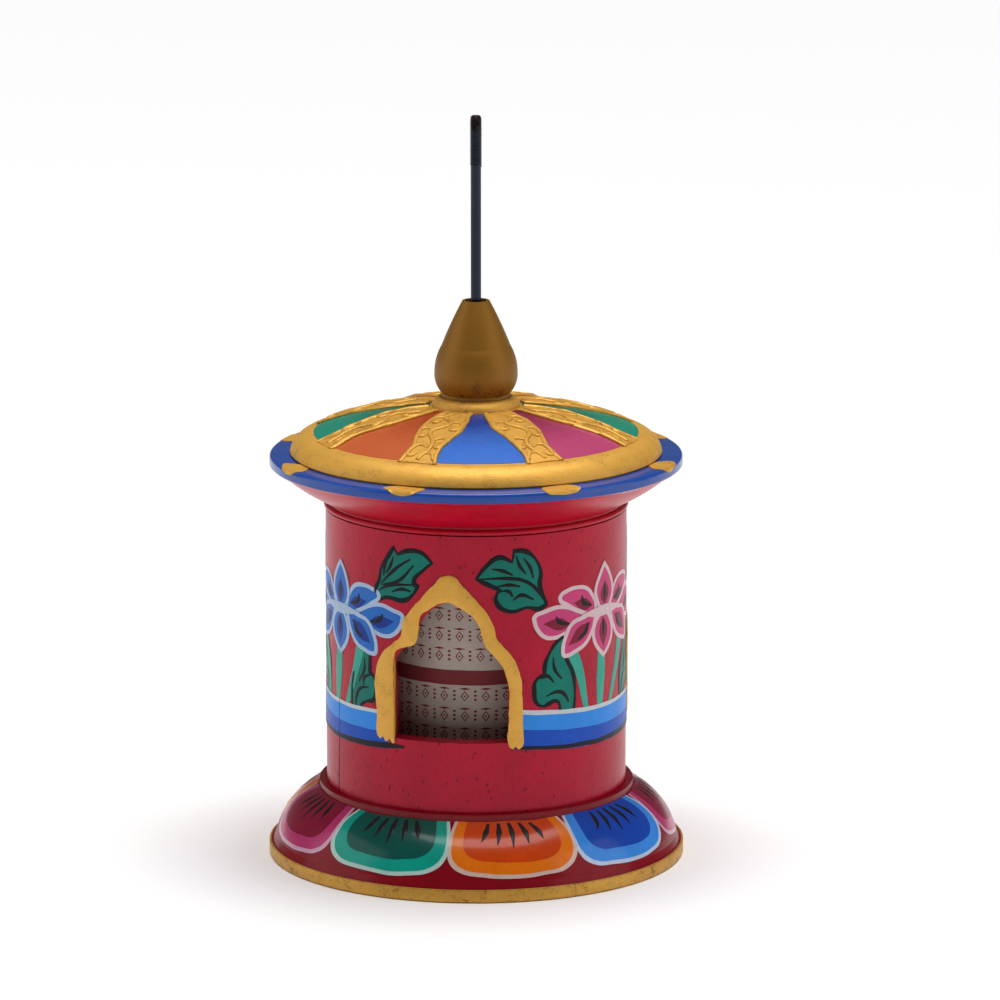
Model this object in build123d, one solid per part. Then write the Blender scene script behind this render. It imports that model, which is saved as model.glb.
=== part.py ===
"""Table-top prayer wheel: a painted wooden case, a lift-off roof and a drum of rolled prayers.

Everything is in millimetres, +Z up, with the origin at the middle of the foot's underside.
The front window faces -Y. Turning angles are in degrees, counter-clockwise seen from above.
The drum turns on a steel spindle that stands on a point in the foot and runs up through the roof.
"""

import os

from build123d import *

# Foot: a turned lotus base with a socket for the barrel
FOOT_RADIUS = 40.2
FOOT_HEIGHT = 14.6
FOOT_EDGE = 0.3
FOOT_BAND_HEIGHT = 2.5
FOOT_BAND_STEP = 1.3
OVOLO_TOP_STEP = 1.6
OVOLO_SAG = 1.2
COLLAR_WALL = 1.4
COLLAR_HEIGHT = 1.2
SOCKET_DEPTH = 5.0

# Barrel: a turned tube with three windows
BARREL_RADIUS = 29.0
BARREL_WALL = 3.6
BARREL_LENGTH = 58.8
GLUE_GAP = 0.1

# Windows, cut by hand: the front one stands a little off an even third
WINDOW_TURNS = (0.0, 126.0, 246.0)

# Window outline as (distance from the window's middle, rise above its sill), with one full shoulder
WINDOW_SILL = 18.7
WINDOW_HALF_WIDTH = 11.0
SPRING_RISE = 11.2
RIGHT_SHOULDER = (9.9, 14.9)
LEFT_SHOULDER = (10.7, 15.6)
CUSP = (7.0, 18.8)
LOBE = (5.5, 23.4)
APEX_RISE = 27.5

# Thin gesso border round each window
BORDER_WIDTH = 3.1
BORDER_PROUD = 0.2
BORDER_DROP = 0.7
BORDER_TIP_BASE = 2.6
BORDER_TIP_TOP = 0.8
BORDER_TIP_RISE = 1.7

# Shrinkage crack down one side of the barrel, widest at the lower end
CRACK_TURN = -56.0
CRACK_LENGTH = 47.0
CRACK_WIDTH = 0.45
CRACK_LEAN = 2.0
CRACK_DEPTH = 2.0

# Cornice: the lid's turned moulding, with a spigot that drops into the barrel and a shadow line at the seam
SPIGOT_LENGTH = 4.0
SPIGOT_GAP = 0.2
SEAM_HEIGHT = 0.25
SEAM_DEPTH = 0.8
BEAD_HEIGHT = 1.3
BEAD_PROUD = 0.35
NECK_INSET = 0.3
NECK_HEIGHT = 1.7
SWEEP_START_STEP = 1.6
SWEEP_START_HEIGHT = 2.6
SWEEP_SAG = 0.35
RIM_RADIUS = 39.7
RIM_UNDERCUT = 1.3
RIM_DEPTH = 1.9
RIM_ROUND = 0.6
CORNICE_HEIGHT = 10.5

# Dome: a turned crown with a moulded skirt and a bead under the finial
DOME_TURN = 12.0
DOME_SKIRT_RADIUS = 35.8
DOME_QUIRK = 0.6
DOME_QUIRK_HEIGHT = 0.4
DOME_SKIRT_HEIGHT = 3.9
DOME_SKIRT_SAG = 0.9
PANEL_OUTER_RADIUS = 31.4
PANEL_STEP = 0.4
PANEL_SAG = 1.0
PANEL_INNER_RADIUS = 8.6
DOME_COLLAR_HEIGHT = 9.1
DOME_HEIGHT = 11.0
DOME_SPIGOT_RADIUS = 10.0
DOME_SPIGOT_LENGTH = 3.0

# Gilded gesso ribs that divide the dome into painted panels
RIB_COUNT = 8
RIB_INNER_RADIUS = 9.4
RIB_INNER_HALF_WIDTH = 2.4
RIB_BELLY_RADIUS = 18.5
RIB_BELLY_HALF_WIDTH = 4.2
RIB_WAIST_RADIUS = 26.5
RIB_WAIST_HALF_WIDTH = 3.1
RIB_OUTER_HALF_WIDTH = 3.7
RIB_HEIGHT = 0.7

# Finial: a turned bud on a tenon, bored for the spindle
FINIAL_BASE_RADIUS = 6.6
FINIAL_NECK_HEIGHT = 0.7
FINIAL_BELLY_RADIUS = 8.0
FINIAL_BELLY_HEIGHT = 4.8
FINIAL_SHOULDER_RADIUS = 6.6
FINIAL_SHOULDER_HEIGHT = 9.9
FINIAL_LIP_RADIUS = 2.6
FINIAL_LOWER_SAG = 0.45
FINIAL_UPPER_SAG = 0.35
FINIAL_CONE_SAG = 0.15
FINIAL_HEIGHT = 18.6
FINIAL_BORE_RADIUS = 2.1
FINIAL_BORE_DEPTH = 12.0
TENON_RADIUS = 4.0
TENON_LENGTH = 4.5

# Spindle: a wheel spoke with its rolled thread left bare at the top
SHANK_RADIUS = 1.0
THREAD_CREST = 0.16
THREAD_LENGTH = 10.1
THREAD_CHAMFER = 0.3
SPINDLE_STICK_OUT = 35.7
POINT_HEIGHT = 1.0

# Bearings: a pivot cup in the foot and a flanged bush under the lid
RUNNING_GAP = 0.05
POINT_GAP = 0.15
CUP_RADIUS = 3.0
CUP_HEIGHT = 4.0
CUP_BORE_DEPTH = 2.6
BUSH_WALL = 1.3
BUSH_LENGTH = 8.0
BUSH_FLANGE_RADIUS = 4.5
BUSH_FLANGE_HEIGHT = 1.0
ROD_HOLE_GAP = 0.6

# Drum: a wooden core and two cheeks that hold a roll of paper in a printed wrapper
DRUM_RADIUS = 18.0
WRAPPER_THICKNESS = 0.3
CORE_RADIUS = 5.0
CHEEK_THICKNESS = 2.0
COLLAR_RADIUS = 3.5
SPINDLE_COLLAR_HEIGHT = 1.4
END_GAP = 0.4

# Levels and radii that follow from the sizes above
floor_level = FOOT_HEIGHT - SOCKET_DEPTH
barrel_top = floor_level + BARREL_LENGTH
sill_level = floor_level + WINDOW_SILL
roof_top = barrel_top + CORNICE_HEIGHT
dome_top = roof_top + DOME_HEIGHT
finial_top = dome_top + FINIAL_HEIGHT
spindle_top = finial_top + SPINDLE_STICK_OUT
barrel_bore = BARREL_RADIUS - BARREL_WALL
spigot_bottom = barrel_top - SPIGOT_LENGTH
thread_radius = SHANK_RADIUS + THREAD_CREST
bush_bore = thread_radius + RUNNING_GAP
bush_radius = bush_bore + BUSH_WALL
rod_hole = thread_radius + ROD_HOLE_GAP
drum_bottom = floor_level + END_GAP + SPINDLE_COLLAR_HEIGHT
drum_top = spigot_bottom - BUSH_FLANGE_HEIGHT - END_GAP - SPINDLE_COLLAR_HEIGHT
paper_radius = DRUM_RADIUS - WRAPPER_THICKNESS


def bulge(start, end, sag):
    """An arc between two profile points that stands out by sag to the right of its chord."""
    along = Vector(*end) - Vector(*start)
    outward = Vector(along.Y, -along.X).normalized() * sag
    return ThreePointArc(start, (Vector(*start) + Vector(*end)) / 2 + outward, end)


def turned(*edges):
    """Turn a closed chain of (radius, height) edges about the Z axis, as on a lathe."""
    return revolve(Plane.XZ * make_face(list(edges)), Axis.Z)


def ring(outer, inner, bottom, top):
    """A plain turned ring between two heights."""
    return turned(Polyline((inner, bottom), (outer, bottom), (outer, top), (inner, top), close=True))


def foot():
    """Lotus base: a flat band, a swelling ovolo and a thin collar round the barrel's socket."""
    collar_radius = BARREL_RADIUS + COLLAR_WALL
    collar_foot = FOOT_HEIGHT - COLLAR_HEIGHT
    band_top = (FOOT_RADIUS - FOOT_BAND_STEP / 2, FOOT_BAND_HEIGHT)
    ovolo_start = (FOOT_RADIUS - FOOT_BAND_STEP, FOOT_BAND_HEIGHT + FOOT_BAND_STEP)
    ovolo_end = (collar_radius + OVOLO_TOP_STEP, collar_foot - OVOLO_TOP_STEP / 2)
    socket_radius = BARREL_RADIUS + GLUE_GAP
    cup_seat = floor_level - CUP_HEIGHT
    lower = Polyline(
        (0, 0),
        (FOOT_RADIUS - FOOT_EDGE, 0),
        (FOOT_RADIUS, FOOT_EDGE),
        (FOOT_RADIUS, FOOT_BAND_HEIGHT),
        band_top,
        ovolo_start,
    )
    upper = Polyline(
        ovolo_end,
        (collar_radius, collar_foot),
        (collar_radius, FOOT_HEIGHT),
        (socket_radius, FOOT_HEIGHT),
        (socket_radius, floor_level),
        (CUP_RADIUS, floor_level),
        (CUP_RADIUS, cup_seat),
        (0, cup_seat),
        (0, 0),
    )
    return turned(lower, bulge(ovolo_start, ovolo_end, OVOLO_SAG), upper)


def half_window(shoulder_place):
    """The right half of a window: a straight jamb, a rounded shoulder and a pointed upper lobe."""
    spring = (WINDOW_HALF_WIDTH, sill_level + SPRING_RISE)
    shoulder = (shoulder_place[0], sill_level + shoulder_place[1])
    cusp = (CUSP[0], sill_level + CUSP[1])
    lobe = (LOBE[0], sill_level + LOBE[1])
    apex = (0, sill_level + APEX_RISE)
    jamb = Polyline((0, sill_level), (WINDOW_HALF_WIDTH, sill_level), spring)
    shoulders = ThreePointArc(spring, shoulder, cusp)
    crown = ThreePointArc(cusp, lobe, apex)
    return make_face([jamb, shoulders, crown, Line(apex, (0, sill_level))])


def window_outline():
    """The opening's outline, with its fuller shoulder on the left."""
    return half_window(RIGHT_SHOULDER) + mirror(half_window(LEFT_SHOULDER), Plane.YZ)


def border_outline():
    """The border's outer outline: the opening grown evenly, with a raised tip and open feet."""
    apex_level = sill_level + APEX_RISE + BORDER_WIDTH
    grown = offset(window_outline(), BORDER_WIDTH, kind=Kind.ARC)
    tip_base = apex_level - BORDER_TIP_BASE / 2
    tip = make_face(
        Polyline(
            (-BORDER_TIP_BASE, tip_base),
            (BORDER_TIP_BASE, tip_base),
            (BORDER_TIP_TOP, apex_level + BORDER_TIP_RISE),
            (-BORDER_TIP_TOP, apex_level + BORDER_TIP_RISE),
            close=True,
        )
    )
    foot_level = sill_level - BORDER_DROP
    below = Pos(0, foot_level - BORDER_WIDTH) * Rectangle(4 * WINDOW_HALF_WIDTH, 2 * BORDER_WIDTH)
    return grown + tip - below


def facing_front(outline, reach):
    """Push a flat outline from the axis out through the front of the barrel."""
    return extrude(Plane.XZ * outline, reach)


def crack():
    """A thin leaning wedge that opens towards the barrel's lower end."""
    wedge = make_face(
        Polyline(
            (-CRACK_WIDTH / 2, 0),
            (CRACK_WIDTH / 2, 0),
            (CRACK_LEAN, CRACK_LENGTH),
            close=True,
        )
    )
    depth = BARREL_RADIUS - CRACK_DEPTH
    blade = extrude(Plane.XZ.offset(depth) * wedge, 2 * CRACK_DEPTH)
    return Rot(0, 0, CRACK_TURN) * Pos(0, 0, floor_level) * blade


def barrel():
    """The case's wall, open at both ends, with its windows and its old crack."""
    wall = ring(BARREL_RADIUS, barrel_bore, floor_level, barrel_top)
    opening = facing_front(window_outline(), 2 * BARREL_RADIUS)
    for turn in WINDOW_TURNS:
        wall -= Rot(0, 0, turn) * opening
    return wall - crack()


def window_border(turn):
    """A thin gesso border laid on the barrel round one window."""
    band = facing_front(border_outline() - window_outline(), 2 * BARREL_RADIUS)
    skin = ring(BARREL_RADIUS + BORDER_PROUD, BARREL_RADIUS, floor_level, barrel_top)
    return Rot(0, 0, turn) * (skin & band)


def pivot_cup():
    """Blind bearing cup, flush with the foot's floor, with a conical seat for the point."""
    bore = SHANK_RADIUS + RUNNING_GAP
    bottom = floor_level - CUP_HEIGHT
    shoulder = floor_level - CUP_BORE_DEPTH
    return turned(
        Polyline(
            (0, bottom),
            (CUP_RADIUS, bottom),
            (CUP_RADIUS, floor_level),
            (bore, floor_level),
            (bore, shoulder),
            (0, shoulder - POINT_HEIGHT - RUNNING_GAP),
            close=True,
        )
    )


def cornice():
    """Lid moulding: spigot, bead, neck, wide sweep and a rounded rim with a flat top."""
    spigot_radius = barrel_bore - SPIGOT_GAP
    neck_radius = BARREL_RADIUS - NECK_INSET
    bead_top = (neck_radius, barrel_top + BEAD_HEIGHT)
    sweep_start = (neck_radius + SWEEP_START_STEP, barrel_top + SWEEP_START_HEIGHT)
    sweep_end = (RIM_RADIUS - RIM_UNDERCUT, roof_top - RIM_DEPTH - RIM_ROUND)
    seam_top = barrel_top + SEAM_HEIGHT
    seam_radius = BARREL_RADIUS - SEAM_DEPTH
    bead_middle = (BARREL_RADIUS + BEAD_PROUD, (seam_top + barrel_top + BEAD_HEIGHT) / 2)
    socket_floor = roof_top - DOME_SPIGOT_LENGTH
    inside = Polyline(
        (RIM_RADIUS - RIM_ROUND, roof_top),
        (DOME_SPIGOT_RADIUS, roof_top),
        (DOME_SPIGOT_RADIUS, socket_floor),
        (rod_hole, socket_floor),
        (rod_hole, spigot_bottom + BUSH_LENGTH),
        (bush_radius, spigot_bottom + BUSH_LENGTH),
        (bush_radius, spigot_bottom),
        (spigot_radius, spigot_bottom),
        (spigot_radius, barrel_top),
        (seam_radius, barrel_top),
        (seam_radius, seam_top),
        (BARREL_RADIUS, seam_top),
    )
    neck = Polyline(bead_top, (neck_radius, barrel_top + NECK_HEIGHT), sweep_start)
    rim_foot = (RIM_RADIUS, roof_top - RIM_DEPTH)
    rim_top = (RIM_RADIUS, roof_top - RIM_ROUND)
    return turned(
        inside,
        ThreePointArc((BARREL_RADIUS, seam_top), bead_middle, bead_top),
        neck,
        bulge(sweep_start, sweep_end, SWEEP_SAG),
        bulge(sweep_end, rim_foot, RIM_ROUND / 4),
        Line(rim_foot, rim_top),
        RadiusArc(rim_top, (RIM_RADIUS - RIM_ROUND, roof_top), -RIM_ROUND),
    )


def panel_arc(lift):
    """The dome's upper surface, as one arc from rim to collar, lifted by a given height."""
    outer = (PANEL_OUTER_RADIUS, roof_top + DOME_SKIRT_HEIGHT + lift)
    inner = (PANEL_INNER_RADIUS, roof_top + DOME_COLLAR_HEIGHT + lift)
    return bulge(outer, inner, PANEL_SAG)


def dome():
    """Crown of the roof, with a spigot under it and a socket for the finial."""
    base_radius = DOME_SKIRT_RADIUS - DOME_QUIRK
    quirk_top = roof_top + DOME_QUIRK_HEIGHT
    skirt_start = (DOME_SKIRT_RADIUS, quirk_top)
    skirt_end = (PANEL_OUTER_RADIUS + PANEL_STEP, roof_top + DOME_SKIRT_HEIGHT)
    panels = panel_arc(0)
    collar_start = (PANEL_INNER_RADIUS, roof_top + DOME_COLLAR_HEIGHT)
    collar_end = (FINIAL_BASE_RADIUS + PANEL_STEP, dome_top)
    spigot_level = roof_top - DOME_SPIGOT_LENGTH
    socket_floor = dome_top - TENON_LENGTH
    outside = Polyline(
        (rod_hole, spigot_level),
        (DOME_SPIGOT_RADIUS - GLUE_GAP, spigot_level),
        (DOME_SPIGOT_RADIUS - GLUE_GAP, roof_top),
        (base_radius, roof_top),
        (base_radius, quirk_top),
        skirt_start,
    )
    inside = Polyline(
        collar_end,
        (TENON_RADIUS, dome_top),
        (TENON_RADIUS, socket_floor),
        (rod_hole, socket_floor),
        (rod_hole, spigot_level),
    )
    return turned(
        outside,
        bulge(skirt_start, skirt_end, DOME_SKIRT_SAG),
        Line(skirt_end, (PANEL_OUTER_RADIUS, roof_top + DOME_SKIRT_HEIGHT)),
        panels,
        bulge(collar_start, collar_end, PANEL_STEP),
        inside,
    )


def rib(index):
    """One gesso rib: a waisted strip laid on the dome from the collar out to the skirt."""
    edge = ThreePointArc(
        (RIB_INNER_RADIUS, RIB_INNER_HALF_WIDTH),
        (RIB_BELLY_RADIUS, RIB_BELLY_HALF_WIDTH),
        (RIB_WAIST_RADIUS, RIB_WAIST_HALF_WIDTH),
    )
    flare = Line((RIB_WAIST_RADIUS, RIB_WAIST_HALF_WIDTH), (PANEL_OUTER_RADIUS, RIB_OUTER_HALF_WIDTH))
    half = make_face(
        [
            edge,
            flare,
            Polyline(
                (PANEL_OUTER_RADIUS, RIB_OUTER_HALF_WIDTH),
                (PANEL_OUTER_RADIUS, 0),
                (RIB_INNER_RADIUS, 0),
                (RIB_INNER_RADIUS, RIB_INNER_HALF_WIDTH),
            ),
        ]
    )
    plan = half + mirror(half, Plane.XZ)
    outer_bottom = (PANEL_OUTER_RADIUS, roof_top + DOME_SKIRT_HEIGHT)
    inner_bottom = (PANEL_INNER_RADIUS, roof_top + DOME_COLLAR_HEIGHT)
    lift = Vector(0, RIB_HEIGHT)
    shell = turned(
        panel_arc(0),
        Line(inner_bottom, Vector(*inner_bottom) + lift),
        panel_arc(RIB_HEIGHT),
        Line(Vector(*outer_bottom) + lift, outer_bottom),
    )
    column = extrude(Pos(0, 0, roof_top) * plan, 2 * DOME_HEIGHT)
    turn = DOME_TURN - 90 + (index + 0.5) * 360 / RIB_COUNT
    return Rot(0, 0, turn) * (shell & column)


def finial():
    """Bud-shaped finial on a tenon, with a wide bore at the top and a rod hole below."""
    belly = (FINIAL_BELLY_RADIUS, dome_top + FINIAL_BELLY_HEIGHT)
    shoulder = (FINIAL_SHOULDER_RADIUS, dome_top + FINIAL_SHOULDER_HEIGHT)
    neck = (FINIAL_BASE_RADIUS, dome_top + FINIAL_NECK_HEIGHT)
    lip = (FINIAL_LIP_RADIUS, finial_top)
    tenon_radius = TENON_RADIUS - GLUE_GAP
    tenon_bottom = dome_top - TENON_LENGTH
    bore_floor = finial_top - FINIAL_BORE_DEPTH
    outside = Polyline(
        (rod_hole, tenon_bottom),
        (tenon_radius, tenon_bottom),
        (tenon_radius, dome_top),
        (FINIAL_BASE_RADIUS, dome_top),
        neck,
    )
    inside = Polyline(
        lip,
        (FINIAL_BORE_RADIUS, finial_top),
        (FINIAL_BORE_RADIUS, bore_floor),
        (rod_hole, bore_floor),
        (rod_hole, tenon_bottom),
    )
    return turned(
        outside,
        bulge(neck, belly, FINIAL_LOWER_SAG),
        bulge(belly, shoulder, FINIAL_UPPER_SAG),
        bulge(shoulder, lip, FINIAL_CONE_SAG),
        inside,
    )


def top_bush():
    """Flanged sleeve pressed up into the lid, bored to pass the thread when the lid lifts."""
    flange_bottom = spigot_bottom - BUSH_FLANGE_HEIGHT
    sleeve_top = spigot_bottom + BUSH_LENGTH
    return turned(
        Polyline(
            (bush_bore, flange_bottom),
            (BUSH_FLANGE_RADIUS, flange_bottom),
            (BUSH_FLANGE_RADIUS, spigot_bottom),
            (bush_radius, spigot_bottom),
            (bush_radius, sleeve_top),
            (bush_bore, sleeve_top),
            close=True,
        )
    )


def spindle():
    """Steel rod with a pointed lower end and a thicker threaded top."""
    point = floor_level - CUP_BORE_DEPTH - POINT_HEIGHT + POINT_GAP - RUNNING_GAP
    thread_bottom = spindle_top - THREAD_LENGTH
    return turned(
        Polyline(
            (0, point),
            (SHANK_RADIUS, point + POINT_HEIGHT),
            (SHANK_RADIUS, thread_bottom),
            (thread_radius, thread_bottom + THREAD_CREST),
            (thread_radius, spindle_top - THREAD_CHAMFER),
            (thread_radius - THREAD_CHAMFER, spindle_top),
            (0, spindle_top),
            close=True,
        )
    )


def spindle_collar(bottom):
    """Small collar fixed on the spindle against a cheek."""
    return ring(COLLAR_RADIUS, SHANK_RADIUS, bottom, bottom + SPINDLE_COLLAR_HEIGHT)


def cheek(bottom):
    """End disc of the drum, fixed on the spindle."""
    return ring(paper_radius, SHANK_RADIUS, bottom, bottom + CHEEK_THICKNESS)


def drum_core():
    """Wooden bobbin between the cheeks, which the paper is wound on."""
    return ring(CORE_RADIUS, SHANK_RADIUS, drum_bottom + CHEEK_THICKNESS, drum_top - CHEEK_THICKNESS)


def prayer_roll():
    """The wound paper strip, as one thick ring."""
    return ring(paper_radius, CORE_RADIUS, drum_bottom + CHEEK_THICKNESS, drum_top - CHEEK_THICKNESS)


def printed_wrapper():
    """Outer paper sleeve, glued round the roll and both cheeks."""
    return ring(DRUM_RADIUS, paper_radius, drum_bottom, drum_top)


nodes = {
    "foot": foot(),
    "barrel": barrel(),
    "pivot_cup": pivot_cup(),
    "cornice": cornice(),
    "dome": dome(),
    "finial": finial(),
    "top_bush": top_bush(),
    "spindle": spindle(),
    "lower_collar": spindle_collar(drum_bottom - SPINDLE_COLLAR_HEIGHT),
    "upper_collar": spindle_collar(drum_top),
    "lower_cheek": cheek(drum_bottom),
    "upper_cheek": cheek(drum_top - CHEEK_THICKNESS),
    "drum_core": drum_core(),
    "prayer_roll": prayer_roll(),
    "printed_wrapper": printed_wrapper(),
}
for number, turn in enumerate(WINDOW_TURNS, start=1):
    nodes[f"window_border_{number}"] = window_border(turn)
for number in range(RIB_COUNT):
    nodes[f"dome_rib_{number + 1}"] = rib(number)

os.makedirs("parts", exist_ok=True)
for name, shape in nodes.items():
    export_step(shape, f"parts/{name}.step")
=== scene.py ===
"""Builds the looks of a table-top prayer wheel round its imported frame.

The case and roof are turned wood under gloss enamel, with raised gesso borders round the windows,
a gilded gesso skirt and ribs on the roof, and lotuses, leaves, waves and petals painted by hand.
A drum of rolled paper turns inside on a steel spoke.
Sizes in the code are millimetres. Blender's own units are metres.
"""

import math
import random

import bmesh
import bpy
from bpy.props import FloatProperty, FloatVectorProperty, PointerProperty
from mathutils import Matrix, Vector, noise


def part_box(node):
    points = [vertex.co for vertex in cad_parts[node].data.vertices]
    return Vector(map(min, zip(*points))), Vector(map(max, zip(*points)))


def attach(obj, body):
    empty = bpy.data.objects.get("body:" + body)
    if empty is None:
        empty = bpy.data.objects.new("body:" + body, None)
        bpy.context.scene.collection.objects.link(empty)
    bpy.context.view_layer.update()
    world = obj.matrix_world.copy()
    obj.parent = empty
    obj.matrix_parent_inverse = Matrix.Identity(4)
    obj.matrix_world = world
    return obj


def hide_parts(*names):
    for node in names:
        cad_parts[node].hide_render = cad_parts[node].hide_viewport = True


bl_info = {
    "name": "Prayer wheel looks",
    "version": (1, 0, 0),
    "blender": (4, 5, 0),
    "location": "3D View > Sidebar > Prayer wheel",
    "description": "Builds the painted and gilded surfaces of a table-top prayer wheel",
    "category": "Object",
}

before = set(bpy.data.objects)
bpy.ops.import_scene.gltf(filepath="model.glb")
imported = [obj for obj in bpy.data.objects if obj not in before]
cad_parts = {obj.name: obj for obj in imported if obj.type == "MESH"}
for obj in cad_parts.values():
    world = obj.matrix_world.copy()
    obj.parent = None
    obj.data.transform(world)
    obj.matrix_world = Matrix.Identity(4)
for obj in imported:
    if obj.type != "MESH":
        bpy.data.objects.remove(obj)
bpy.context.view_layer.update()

MM = 0.001

# Sizes that the frame gives
barrel_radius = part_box("barrel")[1].x / MM
foot_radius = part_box("foot")[1].x / MM
rim_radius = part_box("cornice")[1].x / MM
rim_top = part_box("cornice")[1].z / MM
drum_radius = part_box("printed_wrapper")[1].x / MM
drum_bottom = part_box("printed_wrapper")[0].z / MM
drum_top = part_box("printed_wrapper")[1].z / MM
spindle_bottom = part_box("spindle")[0].z / MM
spindle_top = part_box("spindle")[1].z / MM

# Turned profiles as (radius, height): the foot's ovolo and the dome's painted slope
OVOLO = ((38.9, 3.8), (32.0, 12.6), 1.2)
SLOPE = ((31.4, rim_top + 3.9), (8.6, rim_top + 9.1), 1.0)
PETAL_REFERENCE_RADIUS = 36.0

# How far a coat of paint reaches down into the surface under it, so that no gap shows at its edge
SINK = 0.05
# Height of one coat above the coat under it
COAT = 0.03

# Seed of the noise that a painter's hand sways by, so that every run paints the same
HAND_SEED = 5

WINDOW_TURNS = (0.0, 126.0, 246.0)

# The crack in the barrel: its angle in degrees, how far it leans to the right on its way up,
# the heights of its ends, and how far the paint gapes at its foot
CRACK_TURN = 304.0
CRACK_LEAN = 2.0
CRACK_LEVELS = (9.6, 56.6)
CRACK_GAP = 0.5


def linear_colour(hex_value):
    """An sRGB hex colour such as "#A02539" as linear red, green, blue and alpha."""
    channels = [int(hex_value[start : start + 2], 16) / 255 for start in (1, 3, 5)]
    linear = [c / 12.92 if c <= 0.04045 else ((c + 0.055) / 1.055) ** 2.4 for c in channels]
    return (*linear, 1.0)


def scaled(colour, amount):
    """A colour made darker or lighter, with its alpha kept."""
    return (*(min(1.0, channel * amount) for channel in colour[:3]), 1.0)


# Curved surfaces that paint is laid on. Each takes (sideways, up or outward, lift) in millimetres.


def arc_circle(start, end, sag):
    """Centre and radius of the arc between two profile points that stands out by sag."""
    start = Vector(start)
    end = Vector(end)
    half = (end - start).length / 2
    radius = (half * half + sag * sag) / (2 * sag)
    along = (end - start).normalized()
    outward = Vector((along.y, -along.x))
    return (start + end) / 2 - outward * (radius - sag), radius


ovolo_centre, ovolo_curve = arc_circle(*OVOLO)
slope_centre, slope_curve = arc_circle(*SLOPE)


def around(radius, turn, height):
    """A place in metres, at an angle in radians from the front and right-handed as seen from there."""
    return Vector((radius * math.sin(turn), -radius * math.cos(turn), height)) * MM


def on_cylinder(radius, middle):
    """Laying on an upright cylinder, centred at an angle in degrees."""

    def place(point):
        return around(radius + point.z, point.x / radius + math.radians(middle), point.y)

    return place


def on_window(middle):
    """Laying on the barrel round a window. Sideways is measured straight across the opening."""

    def place(point):
        turn = math.asin(point.x / barrel_radius) + math.radians(middle)
        return around(barrel_radius + point.z, turn, point.y)

    return place


def crack_slit(middle):
    """The crack's two ends and its width, for paint laid on the barrel round this angle."""
    turn = (CRACK_TURN - middle) % 360
    if turn > 180:
        turn -= 360
    foot = math.radians(turn) * barrel_radius
    return ((foot, CRACK_LEVELS[0]), (foot + CRACK_LEAN, CRACK_LEVELS[1]), CRACK_GAP)


def on_foot(middle):
    """Laying on the foot's ovolo and the small slope above it. Up is the way along its profile."""
    start = Vector(OVOLO[0]) - ovolo_centre
    first = math.atan2(start.y, start.x)
    span = 2 * math.asin((Vector(OVOLO[1]) - Vector(OVOLO[0])).length / 2 / ovolo_curve)

    def place(point):
        angle = first + min(span, point.y / ovolo_curve)
        normal = Vector((math.cos(angle), math.sin(angle)))
        spot = ovolo_centre + normal * (ovolo_curve + point.z)
        spot += Vector((-normal.y, normal.x)) * max(0, point.y - span * ovolo_curve)
        return around(spot.x, point.x / PETAL_REFERENCE_RADIUS + math.radians(middle), spot.y)

    return place


def on_dome(middle):
    """Laying on the dome's slope, seen in plan. Outward is the distance from the axis."""

    def place(point):
        radius = math.hypot(point.x, point.y)
        drop = radius - slope_centre.x
        height = slope_centre.y + math.sqrt(slope_curve**2 - drop**2)
        normal = Vector((drop, height - slope_centre.y)) / slope_curve
        turn = math.atan2(point.x, point.y) + math.radians(middle)
        return around(radius + normal.x * point.z, turn, height + normal.y * point.z)

    return place


def on_rim(middle):
    """Laying on the cornice's flat top, seen in plan, and on over its rounded edge."""
    edge = 0.6

    def place(point):
        turn = math.atan2(point.x, point.y) + math.radians(middle)
        over = max(0, math.hypot(point.x, point.y) - rim_radius + edge)
        angle = min(over / edge, math.pi / 2)
        radius = math.hypot(point.x, point.y) - over + (edge + point.z) * math.sin(angle)
        height = rim_top - edge + (edge + point.z) * math.cos(angle)
        return around(radius, turn, height - (over - angle * edge))

    return place


# Mesh building


def smooth_curve(points, corners=(), widths=None, closed=True, steps=6, roundness=1):
    """A flat smooth curve as a mesh: filled where it has no widths, and else a round line."""
    curve = bpy.data.curves.new("guide", "CURVE")
    curve.resolution_u = steps
    if widths is None:
        curve.dimensions = "2D"
        curve.fill_mode = "FRONT"
    else:
        curve.dimensions = "3D"
        curve.bevel_depth = 0.5
        curve.bevel_resolution = roundness
        curve.use_fill_caps = True
    spline = curve.splines.new("BEZIER")
    spline.bezier_points.add(len(points) - 1)
    for index, knot in enumerate(spline.bezier_points):
        kind = "VECTOR" if index in corners else "AUTO"
        knot.co = (points[index][0], points[index][1], 0)
        knot.radius = widths[index] if widths else 1
        knot.handle_left_type = kind
        knot.handle_right_type = kind
    spline.use_cyclic_u = closed
    holder = bpy.data.objects.new("guide", curve)
    mesh = bpy.data.meshes.new_from_object(holder)
    flat = bmesh.new()
    flat.from_mesh(mesh)
    bpy.data.objects.remove(holder)
    bpy.data.curves.remove(curve)
    bpy.data.meshes.remove(mesh)
    return flat


def sway(flat, amount, size, seed):
    """Shift a flat mesh a little from place to place, as a hand does."""
    noise.seed_set(HAND_SEED)
    for vertex in flat.verts:
        drift = noise.noise_vector(Vector((vertex.co.x / size, vertex.co.y / size, seed * 7.3)))
        vertex.co.x += drift.x * amount
        vertex.co.y += drift.y * amount


def cut_across(flat, step, axis):
    """Cut a flat mesh into strips, so that it can bend."""
    direction = Vector((0, 0, 0))
    direction[axis] = 1
    levels = [vertex.co[axis] for vertex in flat.verts]
    level = min(levels) + step
    while level < max(levels) - step / 3:
        parts = flat.verts[:] + flat.edges[:] + flat.faces[:]
        bmesh.ops.bisect_plane(flat, geom=parts, plane_co=direction * level, plane_no=direction)
        level += step


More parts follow.
